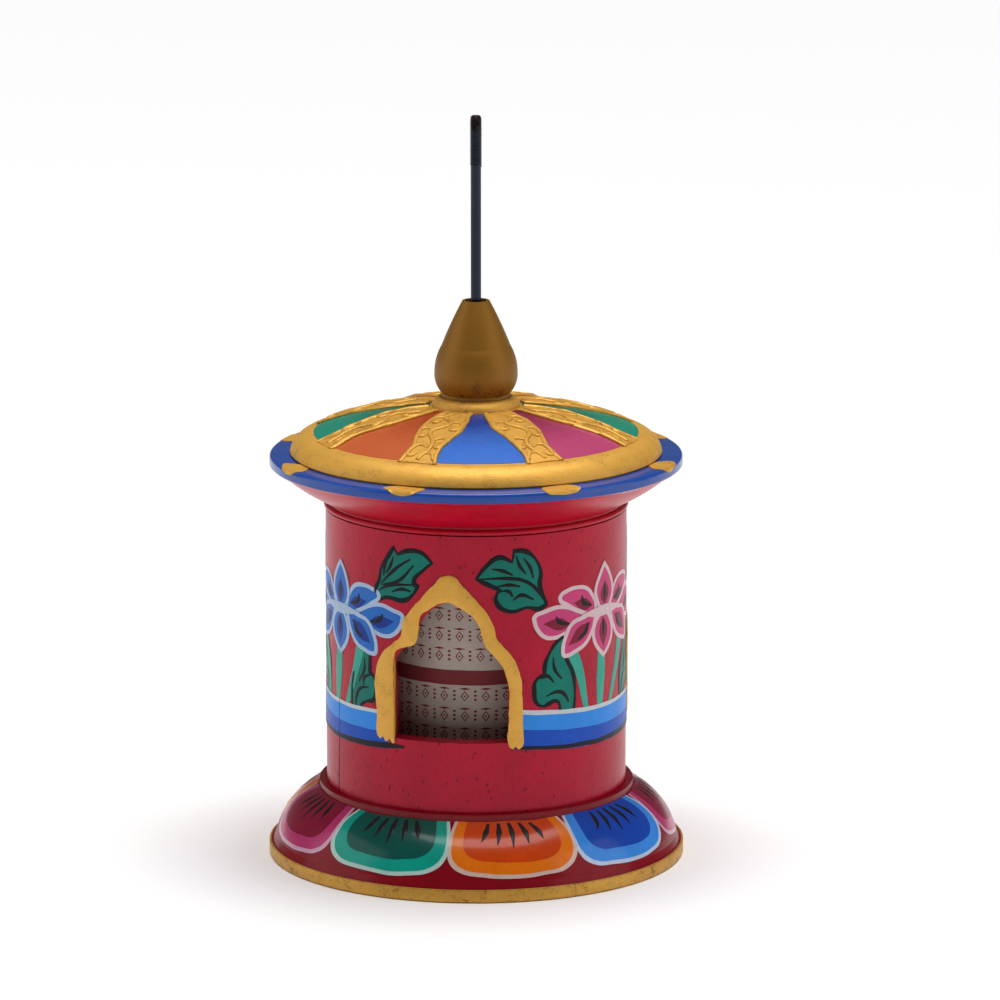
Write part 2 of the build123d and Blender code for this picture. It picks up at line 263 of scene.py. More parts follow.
def open_slit(flat, lower, upper, width):
    """Part a flat mesh along a line, as paint parts over a crack. The slit closes at its upper end."""
    low = Vector((*lower, 0))
    high = Vector((*upper, 0))
    across = Vector((high.y - low.y, low.x - high.x, 0)).normalized()
    edges = []
    for side in (-1, 1):
        start = low + across * side * width / 2
        line = (high - start).normalized()
        normal = Vector((line.y, -line.x, 0)) * side
        edges.append((start, normal))
        parts = flat.verts[:] + flat.edges[:] + flat.faces[:]
        bmesh.ops.bisect_plane(flat, geom=parts, plane_co=start, plane_no=normal)
    inside = [
        face
        for face in flat.faces
        if face.calc_center_median().y < high.y
        and all((face.calc_center_median() - start).dot(normal) < 0 for start, normal in edges)
    ]
    bmesh.ops.delete(flat, geom=inside, context="FACES")


def lay(piece, flat, place, tone, sharp=35):
    """Wrap a flat mesh on a surface and add it to a piece, with a material number."""
    for vertex in flat.verts:
        vertex.co = place(vertex.co)
    bmesh.ops.recalc_face_normals(flat, faces=flat.faces[:])
    for face in flat.faces:
        face.material_index = tone
        face.smooth = True
    for edge in flat.edges:
        edge.smooth = not edge.is_manifold or edge.calc_face_angle() < math.radians(sharp)
    mesh = bpy.data.meshes.new("laid")
    flat.to_mesh(mesh)
    flat.free()
    piece.from_mesh(mesh)
    bpy.data.meshes.remove(mesh)


def thicken(flat, bottom, top):
    """Give a flat mesh its thickness. The corners and faces of its upper side are handed back."""
    for vertex in flat.verts:
        vertex.co.z = bottom
    raised = bmesh.ops.extrude_face_region(flat, geom=flat.faces[:])["geom"]
    for part in raised:
        if isinstance(part, bmesh.types.BMVert):
            part.co.z = top
    return raised


def coat(
    piece, points, place, top, corners=(), tone=0, step=1.5, both_ways=False, hand=(), slit=(),
    margin=0, round_edge=0,
):
    """Lay one coat of paint inside a smooth outline, drawn in by a margin."""
    flat = smooth_curve(points, corners)
    bmesh.ops.dissolve_faces(flat, faces=flat.faces[:])
    if margin:
        rim = bmesh.ops.inset_individual(
            flat, faces=flat.faces[:], thickness=margin, use_even_offset=True
        )
        bmesh.ops.delete(flat, geom=rim["faces"], context="FACES")
    cut_across(flat, step, 0)
    if both_ways:
        cut_across(flat, step, 1)
    if slit:
        open_slit(flat, *slit)
    if hand:
        sway(flat, *hand)
    raised = thicken(flat, -SINK, top)
    if round_edge:
        crown = {part for part in raised if isinstance(part, bmesh.types.BMFace)}
        for vertex in {corner for face in crown for corner in face.verts}:
            if not crown.issuperset(vertex.link_faces):
                vertex.co.z = top - round_edge
    lay(piece, flat, place, tone)


def brush_line(piece, points, widths, place, base, rise, tone=0, corners=(), closed=False, hand=()):
    """Lay one brush line, rounded in section, widening and narrowing along its length."""
    flat = smooth_curve(points, corners, widths, closed)
    if hand:
        sway(flat, *hand)
    flatten = rise / (max(widths) / 2)
    for vertex in flat.verts:
        vertex.co.z = base + vertex.co.z * flatten
    lay(piece, flat, place, tone, sharp=80)


def arc_points(start, end, sag, count=8):
    """Profile points after start, up to end, on an arc that stands out by sag."""
    centre, radius = arc_circle(start, end, sag)
    first = math.atan2(start[1] - centre.y, start[0] - centre.x)
    last = math.atan2(end[1] - centre.y, end[0] - centre.x)
    turns = [first + (last - first) * index / count for index in range(1, count + 1)]
    return [(centre.x + radius * math.cos(t), centre.y + radius * math.sin(t)) for t in turns]


def turn_profile(piece, profile, tone=0, steps=180, closed=True):
    """Turn a chain of (radius, height) points about the upright axis, as on a lathe."""
    blank = bmesh.new()
    points = [blank.verts.new((radius * MM, 0, height * MM)) for radius, height in profile]
    pairs = list(zip(points, points[1:]))
    if closed:
        pairs.append((points[-1], points[0]))
    edges = [blank.edges.new(pair) for pair in pairs]
    bmesh.ops.spin(
        blank,
        geom=points + edges,
        cent=(0, 0, 0),
        axis=(0, 0, 1),
        angle=2 * math.pi,
        steps=steps,
        use_merge=True,
    )
    bmesh.ops.remove_doubles(blank, verts=blank.verts[:], dist=1e-7)
    lay(piece, blank, lambda point: point.copy(), tone)


def show(name, data):
    """Put an object with this data in the scene."""
    shown = bpy.data.objects.new(name, data)
    bpy.context.scene.collection.objects.link(shown)
    return shown


def finish_piece(name, piece, body, materials):
    """Make a piece's object, give it its materials, and let it ride on its body."""
    mesh = bpy.data.meshes.new(name)
    piece.to_mesh(mesh)
    piece.free()
    for material in materials:
        mesh.materials.append(material)
    shown = show(name, mesh)
    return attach(shown, body)


def dress(node, material):
    """Give a CAD node its finish."""
    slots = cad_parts[node].material_slots
    if not slots:
        raise RuntimeError(f"{node} has no material slot")
    for slot in slots:
        slot.material = material


# Materials, each a tree of shader nodes put together from the helpers that come first


def add_node(tree, kind, inputs=(), stops=(), **settings):
    """Add one shader node with its settings, its colour stops, and its values or links."""
    node = tree.nodes.new(kind)
    for name, value in settings.items():
        setattr(node, name, value)
    if stops:
        ramp = node.color_ramp.elements
        while len(ramp) > 1:
            ramp.remove(ramp[-1])
        for index, (position, colour) in enumerate(stops):
            element = ramp.new(position) if index else ramp[0]
            element.position = position
            element.color = colour
    for socket, value in dict(inputs).items():
        if isinstance(value, bpy.types.NodeSocket):
            tree.links.new(value, node.inputs[socket])
        else:
            node.inputs[socket].default_value = value
    return node


def start_material(name):
    """An empty material and its node tree."""
    material = bpy.data.materials.new(name)
    material.use_nodes = True
    material.node_tree.nodes.clear()
    return material, material.node_tree


def own_place(tree):
    """The object's own coordinates."""
    return add_node(tree, "ShaderNodeTexCoord").outputs["Object"]


def height_of(tree, place):
    """The height in these coordinates."""
    return add_node(tree, "ShaderNodeSeparateXYZ", {0: place}).outputs["Z"]


def stretched(tree, place, sizes):
    """Coordinates in which one unit of a pattern has these sizes in millimetres."""
    scale = [1 / (size * MM) for size in sizes]
    return add_node(tree, "ShaderNodeMapping", {"Vector": place, "Scale": scale}).outputs[0]


def grain(tree, place, size, detail, roughness=0.5, distortion=0.0):
    """Noise with marks of this size in millimetres, or of these sizes along the three axes."""
    scale = 1.0
    if isinstance(size, tuple):
        place = stretched(tree, place, size)
    else:
        scale = 1 / (size * MM)
    values = {"Vector": place, "Scale": scale, "Detail": detail}
    values |= {"Roughness": roughness, "Distortion": distortion}
    return add_node(tree, "ShaderNodeTexNoise", values).outputs["Fac"]


def arithmetic(tree, operation, *values):
    """What an operation makes of its values."""
    return add_node(tree, "ShaderNodeMath", enumerate(values), operation=operation).outputs[0]


def mean(tree, first, second):
    """Halfway between two values."""
    return arithmetic(tree, "MULTIPLY", arithmetic(tree, "ADD", first, second), 0.5)


def share_between(tree, value, low, high):
    """0 where the value is low or less, 1 where it is high or more, and even in between."""
    values = {"Value": value, "From Min": low, "From Max": high}
    return add_node(tree, "ShaderNodeMapRange", values).outputs[0]


def shades(tree, amount, *stops):
    """A colour that follows an amount from one stop to the next."""
    return add_node(tree, "ShaderNodeValToRGB", {"Fac": amount}, stops).outputs["Color"]


def relief(tree, height, depth, **under):
    """The normal over a height pattern of this depth in millimetres, on another normal if given."""
    values = {"Height": height, "Strength": 1.0, "Distance": depth * MM, **under}
    return add_node(tree, "ShaderNodeBump", values).outputs[0]


def add_surface(tree, colour, roughness, **more):
    """Close a node tree with its surface. Words in the names of further values are joined by _."""
    values = {name.replace("_", " "): value for name, value in more.items()}
    values |= {"Base Color": colour, "Roughness": roughness}
    surface = add_node(tree, "ShaderNodeBsdfPrincipled", values)
    add_node(tree, "ShaderNodeOutputMaterial", {"Surface": surface.outputs[0]})


def enamel(name, colour, drag, ridge=0.012, shade=0.72, roughness=0.34, coat_weight=0.16, pores=0.0):
    """Oil enamel brushed on turned wood: glossy, with drag marks that follow the brush.

    Drag is the size of one brush mark along each axis, and ridge its height.
    Pores is how deep the wood's open pores show through.
    """
    material, tree = start_material(name)
    place = own_place(tree)
    strokes = grain(tree, place, drag, 5.0, 0.65)
    # Thicker and thinner paint over about 9 mm
    body = mean(tree, strokes, grain(tree, place, 9, 2.0))
    tone = shades(tree, body, (0.30, scaled(colour, shade)), (0.75, colour))
    normal = relief(tree, strokes, ridge)
    if pores:
        # Open pores of the wood: thin dark pits, about 1.5 mm apart
        cells = {"Vector": stretched(tree, place, (1.5, 1.5, 2.4)), "Scale": 1.0, "Randomness": 1.0}
        apart = add_node(tree, "ShaderNodeTexVoronoi", cells).outputs["Distance"]
        pits = share_between(tree, apart, 0.08, 0.17)
        stain = shades(tree, pits, (0.0, (0.35, 0.35, 0.35, 1.0)), (1.0, (1.0, 1.0, 1.0, 1.0)))
        stained = add_node(tree, "ShaderNodeVectorMath", {0: tone, 1: stain}, operation="MULTIPLY")
        tone = stained.outputs["Vector"]
        normal = relief(tree, pits, pores, Normal=normal)
    add_surface(
        tree,
        tone,
        roughness,
        Specular_IOR_Level=0.13,
        Coat_Weight=coat_weight,
        Coat_Roughness=0.12,
        Normal=normal,
    )
    return material


def artist_paint(name, hex_value, streak=0.5, shade=0.75, roughness=0.4, coat_weight=0.1):
    """Opaque artist's paint laid with a pointed brush over enamel, slightly streaky and glossy."""
    colour = linear_colour(hex_value)
    return enamel(name, colour, (streak, streak, streak * 3), 0.008, shade, roughness, coat_weight)


def gilding(name, colour, pit_colour, grit=0.3, depth=0.16, roughness=0.5, pit_level=0.40):
    """Brass-powder paint over sandy gesso: a metal sheen broken up by grit, darker in its pits."""
    material, tree = start_material(name)
    place = own_place(tree)
    sand = grain(tree, place, grit, 3.0, 0.6)
    # Uneven brushing over about 3 mm
    rough = mean(tree, sand, grain(tree, place, 3, 4.0, 0.6))
    pit = (pit_level - 0.1, pit_colour)
    tone = shades(tree, rough, pit, (pit_level + 0.05, colour), (0.7, scaled(colour, 1.15)))
    add_surface(tree, tone, roughness, Metallic=0.4, Normal=relief(tree, rough, depth))
    return material


def panel_paint(name, inner_value, sheen_outer_value):
    """Gloss paint on a dome panel, from one hex colour near the finial to a lighter one at the skirt, as
    a painted sheen.
    """
    material, tree = start_material(name)
    place = own_place(tree)
    plan = add_node(tree, "ShaderNodeMapping", {"Vector": place, "Scale": (1, 1, 0)}).outputs[0]
    reach = add_node(tree, "ShaderNodeVectorMath", {0: plan}, operation="LENGTH").outputs["Value"]
    streaks = grain(tree, place, 1.6, 5.0, 0.7)
    # Painted sheen: the panel lightens from 12 mm out from the axis to 31 mm, at the skirt
    outward = share_between(tree, reach, 12 * MM, 31 * MM)
    streaks_and_sheen = arithmetic(tree, "MULTIPLY_ADD", streaks, 0.5, outward)
    inner = (0.35, linear_colour(inner_value))
    tone = shades(tree, streaks_and_sheen, inner, (1.0, linear_colour(sheen_outer_value)))
    add_surface(
        tree,
        tone,
        0.4,
        Specular_IOR_Level=0.3,
        Coat_Weight=0.15,
        Coat_Roughness=0.2,
        Normal=relief(tree, streaks, 0.02),
    )
    return material


def finial_gilding(name, colour, shaded_low_colour):
    """Old gold paint on a turned bud, with fine specks, and a painted shade that makes it darker and
    browner low down.
    """
    material, tree = start_material(name)
    place = own_place(tree)
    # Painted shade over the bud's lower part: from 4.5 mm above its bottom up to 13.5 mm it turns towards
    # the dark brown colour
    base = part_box("finial")[0].z + 4.5 * MM
    rise = share_between(tree, height_of(tree, place), base, base + 9 * MM)
    specks = grain(tree, place, 0.5, 4.0, 0.7)
    mixed = arithmetic(tree, "ADD", specks, grain(tree, place, 3.5, 3.0))
    level = arithmetic(tree, "MULTIPLY_ADD", rise, 0.35, mixed)
    tone = shades(tree, level, (0.75, shaded_low_colour), (1.0, colour))
    add_surface(tree, tone, 0.5, Metallic=0.5, Normal=relief(tree, mixed, 0.03))
    return material


def rod_steel(name, colour, residue_colour, residue_level):
    """Drawn and zinc-plated spoke steel with lengthwise marks, and brown residue in the top threads."""
    material, tree = start_material(name)
    place = own_place(tree)
    lines = grain(tree, place, (0.25, 0.25, 9.0), 3.0)
    low = (residue_level - 1.0) * MM
    high = (residue_level + 1.5) * MM
    dirt = share_between(tree, height_of(tree, place), low, high)
    amount = arithmetic(tree, "MULTIPLY", dirt, grain(tree, place, 0.9, 3.0))
    tone = shades(tree, amount, (0.30, colour), (0.5, residue_colour))
    add_surface(tree, tone, 0.32, Metallic=0.9, Normal=relief(tree, lines, 0.01))
    return material


def turned_brass(name, colour):
    """Turned brass: fine rings from the tool, and a soft metal sheen."""
    material, tree = start_material(name)
    marks = grain(tree, own_place(tree), (6.0, 6.0, 0.12), 2.0)
    tone = shades(tree, marks, (0.35, scaled(colour, 0.75)), (0.65, colour))
    add_surface(tree, tone, 0.3, Metallic=1.0, Normal=relief(tree, marks, 0.01))
    return material


def bare_softwood(name, colour):
    """Unpainted turned softwood: pale, dull, with upright grain lines."""
    material, tree = start_material(name)
    lines = grain(tree, own_place(tree), (0.9, 0.9, 18.0), 6.0, distortion=0.4)
    tone = shades(tree, lines, (0.35, scaled(colour, 0.6)), (0.6, colour))
    add_surface(tree, tone, 0.7, Normal=relief(tree, lines, 0.04))
    return material


def bark_paper(name, colour, fibre=0.25, lying=5):
    """Handmade bark paper: dull and mottled. Its fibres lie level, this many times as long as thick."""
    material, tree = start_material(name)
    place = own_place(tree)
    fibres = grain(tree, place, (fibre * lying, fibre * lying, fibre), 5.0, 0.7)
    body = mean(tree, fibres, grain(tree, place, 6, 3.0))
    tone = shades(tree, body, (0.3, scaled(colour, 0.78)), (0.65, colour))
    add_surface(tree, tone, 0.8, Normal=relief(tree, fibres, 0.03))
    return material


# Sizes and colours that a user would change


def length_choice(name, description, length):
    """A length in millimetres that the user can change."""
    return FloatProperty(name=name, description=description, default=length * MM, unit="LENGTH")


class PrayerWheelSizes(bpy.types.PropertyGroup):
    border_height: length_choice("Border height", "How far a border stands out from the barrel", 0.32)
    rib_relief: length_choice("Rib relief", "Height of the scrolls on the roof's ribs", 0.45)
    thread_pitch: length_choice("Thread pitch", "Rise of the spindle's thread in one turn", 0.45)
    row_pitch: length_choice("Row pitch", "Height from one row of printed ornament to the next", 3.9)


def colour_choice(name, description, hex_value):
    """A colour that the user can change."""
    return FloatVectorProperty(
        name=name,
        description=description,
        subtype="COLOR",
        size=4,
        min=0.0,
        max=1.0,
        default=linear_colour(hex_value),
    )


class PrayerWheelColours(bpy.types.PropertyGroup):
    barrel_red: colour_choice("Barrel red", "Enamel on the barrel", "#C60832")
    cornice_red: colour_choice("Cornice red", "Enamel under the roof's rim", "#BE0628")
    foot_red: colour_choice("Foot red", "Enamel on the foot between its petals", "#8E061A")
    gold: colour_choice("Gold", "Gilding on the borders, skirt and ribs", "#DAA442")
    old_gold: colour_choice("Old gold", "Gilding on the finial", "#8E6010")
    blue: colour_choice("Blue", "Blue enamel on the roof's rim", "#1F55B8")
    paper: colour_choice("Paper", "Bark paper round and in the drum", "#D6CCC0")
    print_red: colour_choice("Print red", "Block-printing ink on the drum", "#8C3438")


# Operators, one for each piece or group of like pieces


class PRAYERWHEEL_OT_barrel(bpy.types.Operator):
    """Brush the case's barrel with red enamel"""

    bl_idname = "prayer_wheel.barrel"
    bl_label = "Barrel"

    def execute(self, context):
        red = context.scene.prayer_wheel_colours.barrel_red
        # Red oil enamel on turned hardwood: upright drag marks, open pores, a milky gloss
        paint = enamel("red_enamel_on_hardwood", red, (0.6, 0.6, 1.5), ridge=0.09, shade=0.66, pores=0.08)
        dress("barrel", paint)
        return {"FINISHED"}


# A window border: up its left side, over its tip and down its right, then back along its inner side.
# Sideways is measured straight across the opening.
BORDER_OUTER = (
    (-14.0, 27.9), (-14.6, 33.0), (-14.8, 41.0), (-13.4, 44.6), (-11.5, 46.6), (-9.4, 48.6), (-9.2, 51.2),
    (-7.0, 54.3), (-3.5, 58.4), (-1.2, 60.6), (0.7, 60.8), (2.9, 58.6), (6.1, 55.0), (8.1, 51.8),
    (9.1, 48.3), (10.7, 46.5), (12.2, 44.1), (13.1, 41.2), (13.5, 36.0), (13.5, 32.0), (12.9, 27.0),
)
RIGHT_BORDER_FOOT = ((12.3, 27.6), (11.9, 27.0), (11.2, 27.6))
BORDER_INNER = (
    (11.05, 32.0), (11.05, 39.5), (10.0, 43.0), (8.6, 45.1), (7.0, 47.1), (6.1, 49.5), (5.3, 51.9),
    (3.8, 53.5), (1.9, 54.8), (-0.3, 55.7), (-3.5, 54.4), (-5.5, 52.7), (-6.0, 49.5), (-6.9, 47.1),
    (-10.2, 45.7), (-11.1, 43.2), (-11.05, 39.5), (-11.05, 29.0),
)
LEFT_BORDER_FOOT = ((-11.2, 27.3), (-11.9, 28.0), (-12.7, 27.5), (-13.4, 28.2))
# Half the opening's width, and the gold that ran over on to its left side as (way in, height)
OPENING_HALF_WIDTH = 11.0
JAMB_GOLD = (
    (-0.1, 28.5), (0.9, 28.4), (1.3, 31.5), (0.8, 35.0), (1.4, 39.0), (1.1, 42.3), (0.5, 43.8),
    (-0.1, 44.0),
)


class PRAYERWHEEL_OT_window_borders(bpy.types.Operator):
    """Lay a raised gesso border round each window and gild it"""

    bl_idname = "prayer_wheel.window_borders"
    bl_label = "Window borders"

    def execute(self, context):
        height = context.scene.prayer_wheel_sizes.border_height / MM
        gold_colour = context.scene.prayer_wheel_colours.gold
        # Brass-powder paint on sandy gesso: bright and matt, brown in its pits
        gold = gilding(
            "gilded_gesso_border", scaled(gold_colour, 1.04), linear_colour("#B07C30"), 0.25, 0.12
        )
        outline = BORDER_OUTER + RIGHT_BORDER_FOOT + BORDER_INNER + LEFT_BORDER_FOOT
        corners = range(len(BORDER_OUTER), len(BORDER_OUTER) + 2)
        for number, turn in enumerate(WINDOW_TURNS, start=1):
            piece = bmesh.new()
            hand = (0.16, 1.3, number)
            place = on_window(turn)
            coat(piece, outline, place, height, corners, 0, 0.9, True, hand, round_edge=height * 0.4)
            coat(piece, JAMB_GOLD, self.on_jamb(turn), 0.06, (0, 7), 0, 1.0, True)
            border = finish_piece(f"gesso_border_{number}", piece, "case", [gold])
            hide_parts(f"window_border_{number}")
        return {"FINISHED"}

    def on_jamb(self, middle):
        """Laying on the left side face of an opening. Sideways is the way in from the barrel's skin."""
        skin = math.sqrt(barrel_radius**2 - OPENING_HALF_WIDTH**2)
        turned = Matrix.Rotation(math.radians(middle), 3, "Z")

        def place(point):
            spot = Vector((point.z - OPENING_HALF_WIDTH, point.x - skin, point.y))
            return turned @ (spot * MM)

        return place


# Upper edges of the band's stripes, as heights at their start and end, and the band's lower edge
STRIPES = ((34.7, 33.5), (33.8, 32.8), (30.9, 29.4), (27.65, 27.3))
BAND_FLOOR = (27.0, 26.1)
# How far the band stays from a window's middle, and how much it sags between two windows
BAND_START = 12.6
BAND_SAG = 0.9


class PRAYERWHEEL_OT_wave_band(bpy.types.Operator):
    """Paint the white, blue and black wave band round the barrel"""

    bl_idname = "prayer_wheel.wave_band"
    bl_label = "Wave band"

    def execute(self, context):
        # Artist's paint in long level strokes: slightly streaky along the band
        tones = [
            artist_paint("white_band_paint", "#D2D8DC", 0.6, 0.85),
            artist_paint("sky_blue_band_paint", "#3494F4", 0.6, 0.8),
            artist_paint("deep_blue_band_paint", "#1656CC", 0.6, 0.7),
            artist_paint("black_band_paint", "#1C1C24", 0.6, 0.7),
        ]
        for number, turn in enumerate(WINDOW_TURNS, start=1):
            gap = (WINDOW_TURNS[number % 3] - turn) % 360
            end = math.radians(gap) * barrel_radius - BAND_START
            slit = ()
            if turn < CRACK_TURN < turn + gap:
                slit = crack_slit(turn)
            piece = bmesh.new()
            place = on_cylinder(barrel_radius, turn)
            floor = self.wave(end, BAND_FLOOR)[::-1]
            for tone, levels in enumerate(STRIPES):
                crest = self.wave(end, levels)
                corners = (0, len(crest) - 1, len(crest), len(crest) + len(floor) - 1)
                lift = 0.10 + 0.02 * tone
                hand = (0.12, 4.0, number + tone)
                coat(piece, crest + floor, place, lift, corners, tone, 1.6, hand=hand, slit=slit)
            tail = ((-14.5, 26.6), (-12.0, 26.7), (-9.2, 26.8))
            brush_line(piece, tail, (1.1, 0.9, 0.5), place, 0.14, 0.04, 3)
            finish_piece(f"wave_band_{number}", piece, "case", tones)
        return {"FINISHED"}

    def wave(self, end, levels):
        """A stripe's edge between two windows, from its start height to its end height."""
        points = []
        for index in range(7):
            share = index / 6
            level = levels[0] + (levels[1] - levels[0]) * share
            sag = BAND_SAG * math.sin(math.pi * share)
            points.append((BAND_START + (end - BAND_START) * share, level - sag))
        return points


# Lotus petals: layer, outline, numbers of the sharp points, the heart's two ends and half width,
# and the black stroke in it. Sideways is from the stem's line. Those to the left are mirrored too.
SIDE_PETALS = (
    (
        0,
        (
            (-4.8, 51.1), (-8.2, 53.3), (-11.6, 54.3), (-14.8, 53.7), (-17.2, 52.5), (-17.2, 51.4),
            (-16.5, 49.6), (-14.8, 47.9), (-13.1, 47.5), (-10.5, 48.0), (-7.4, 49.5),
        ),
        (),
        ((-9.0, 50.1), (-15.2, 51.0), 1.2),
        ((-12.4, 52.1), (-11.8, 51.0), (-9.2, 50.2)),
    ),
    (
        1,
        (
            (-2.2, 51.4), (-7.4, 52.1), (-10.1, 53.7), (-11.7, 55.1), (-11.6, 56.2), (-9.7, 57.2),
            (-7.4, 57.5), (-4.8, 56.9), (-3.0, 55.2), (-1.8, 53.0),
        ),
        (),
        ((-3.2, 52.9), (-8.4, 54.1), 1.1),
        ((-6.3, 55.2), (-5.9, 53.9), (-3.6, 53.0)),
    ),
    (
        2,
        (
            (-2.2, 51.2), (-6.5, 51.3), (-9.0, 50.4), (-10.5, 48.1), (-11.1, 45.3), (-10.7, 43.9),
            (-9.7, 43.7), (-7.8, 44.2), (-5.2, 45.2), (-3.4, 47.1), (-2.3, 49.5),
        ),
        (),
        ((-3.8, 49.9), (-9.5, 46.0), 1.35),
        ((-4.6, 50.0), (-5.0, 48.4), (-7.2, 46.9)),
    ),
)
MIDDLE_PETALS = (
    (
        3,
        (
            (0.0, 51.0), (-2.1, 53.4), (-2.6, 55.8), (-1.2, 58.7), (0.7, 60.9), (3.0, 58.2), (4.2, 55.2),
            (3.6, 52.8), (1.4, 51.0),
        ),
        (4,),
        ((0.8, 52.2), (0.7, 57.2), 1.4),
        ((0.6, 56.4), (0.8, 54.7), (0.6, 53.0)),
    ),
    (
        3,
        (
            (-0.6, 51.2), (-2.8, 49.3), (-3.3, 47.1), (-2.5, 44.9), (0.4, 42.1), (3.0, 44.3), (4.0, 46.7),
            (3.5, 49.2), (1.6, 51.2),
        ),
        (4,),
        ((0.3, 50.2), (0.4, 44.2), 1.4),
        ((0.3, 49.8), (0.5, 48.2), (0.3, 46.5)),
    ),
)
LOTUS_BAR = (
    (-6.4, 51.5), (-3.2, 52.1), (0.5, 52.3), (4.2, 52.1), (7.4, 51.5), (4.2, 50.7), (0.5, 50.3),
    (-3.2, 50.7),
)
STEMS = (
    (((-8.5, 44.6), (-6.4, 40.0), (-4.8, 33.0)), (2.4, 2.1, 1.3)),
    (((-0.2, 43.4), (-0.5, 38.0), (-0.6, 32.8)), (2.4, 2.6, 1.6)),
    (((7.4, 44.6), (5.5, 39.0), (3.0, 33.0)), (2.4, 1.9, 1.2)),
)


class PRAYERWHEEL_OT_lotuses(bpy.types.Operator):
    """Paint a lotus on three stems between each pair of windows"""

    bl_idname = "prayer_wheel.lotuses"
    bl_label = "Lotuses"

    def execute(self, context):
        # Outline, body, heart and shadow of each lotus, in opaque paint with a fine brush
        stem = artist_paint("aqua_stem_paint", "#3CB49C", 0.4, 0.8)
        line = artist_paint("black_line_paint", "#1E1C24", 0.3, 0.7)
        sprays = (
            ("pink", 66.0, "#E8CCD0", "#DC4884", "#8E1C3A"),
            ("orange", 186.0, "#ECD2B4", "#E87420", "#A43408"),
            ("blue", 306.0, "#B4CCE8", "#2A74D0", "#123C9C"),
        )
        for name, turn, pale, body, heart in sprays:
            tones = [
                stem,
                artist_paint(f"pale_{name}_lotus_paint", pale, 0.35, 0.85),
                artist_paint(f"{name}_lotus_paint", body, 0.35, 0.8),
                artist_paint(f"deep_{name}_lotus_paint", heart, 0.35, 0.75),
                line,
            ]
            piece = bmesh.new()
            place = on_cylinder(barrel_radius, turn)
            hand = (0.25, 5.0, turn)
            slit = ()
            if abs(CRACK_TURN - turn) < 20:
                slit = crack_slit(turn)
            for points, widths in STEMS:
                brush_line(piece, points, widths, place, COAT, 0.05, 0, hand=hand)
            for petal in SIDE_PETALS:
                self.petal(piece, petal, place, hand, slit)
                self.petal(piece, self.mirrored(petal), place, hand, slit)
            for petal in MIDDLE_PETALS:
                self.petal(piece, petal, place, hand, slit)
            coat(piece, LOTUS_BAR, place, 0.18, (0, 4), 1, 1.0, hand=hand, slit=slit)
            finish_piece(f"{name}_lotus", piece, "case", tones)
        return {"FINISHED"}

    def mirrored(self, petal):
        """The same petal on the other side of the lotus, whose middle stands 0.5 mm to the right."""
        layer, outline, corners, (start, end, half), stroke = petal
        flip = [[(1 - x, y) for x, y in points] for points in (outline, (start, end), stroke)]
        return layer, flip[0], corners, (*flip[1], half), flip[2]

    def petal(self, piece, petal, place, hand, slit):
        """One petal: pale outline, body, dark heart and a black shadow stroke."""
        layer, outline, corners, (start, end, half), stroke = petal
        lift = COAT + 0.034 * layer
        coat(piece, outline, place, lift, corners, 1, 1.0, hand=hand, slit=slit)
        coat(piece, outline, place, lift + 0.012, corners, 2, 1.0, hand=hand, slit=slit, margin=0.8)
        first = Vector(start)
        axis = Vector(end) - first
        side = Vector((-axis.y, axis.x)).normalized() * half
        heart = [first, first + axis * 0.4 + side, first + axis, first + axis * 0.45 - side]
        points = [tuple(point) for point in heart]
        coat(piece, points, place, lift + 0.024, (0, 2), 3, 1.0, hand=hand, slit=slit)
        brush_line(piece, stroke, (0.35, 1.0, 0.4), place, lift + 0.024, 0.05, 4, hand=hand)


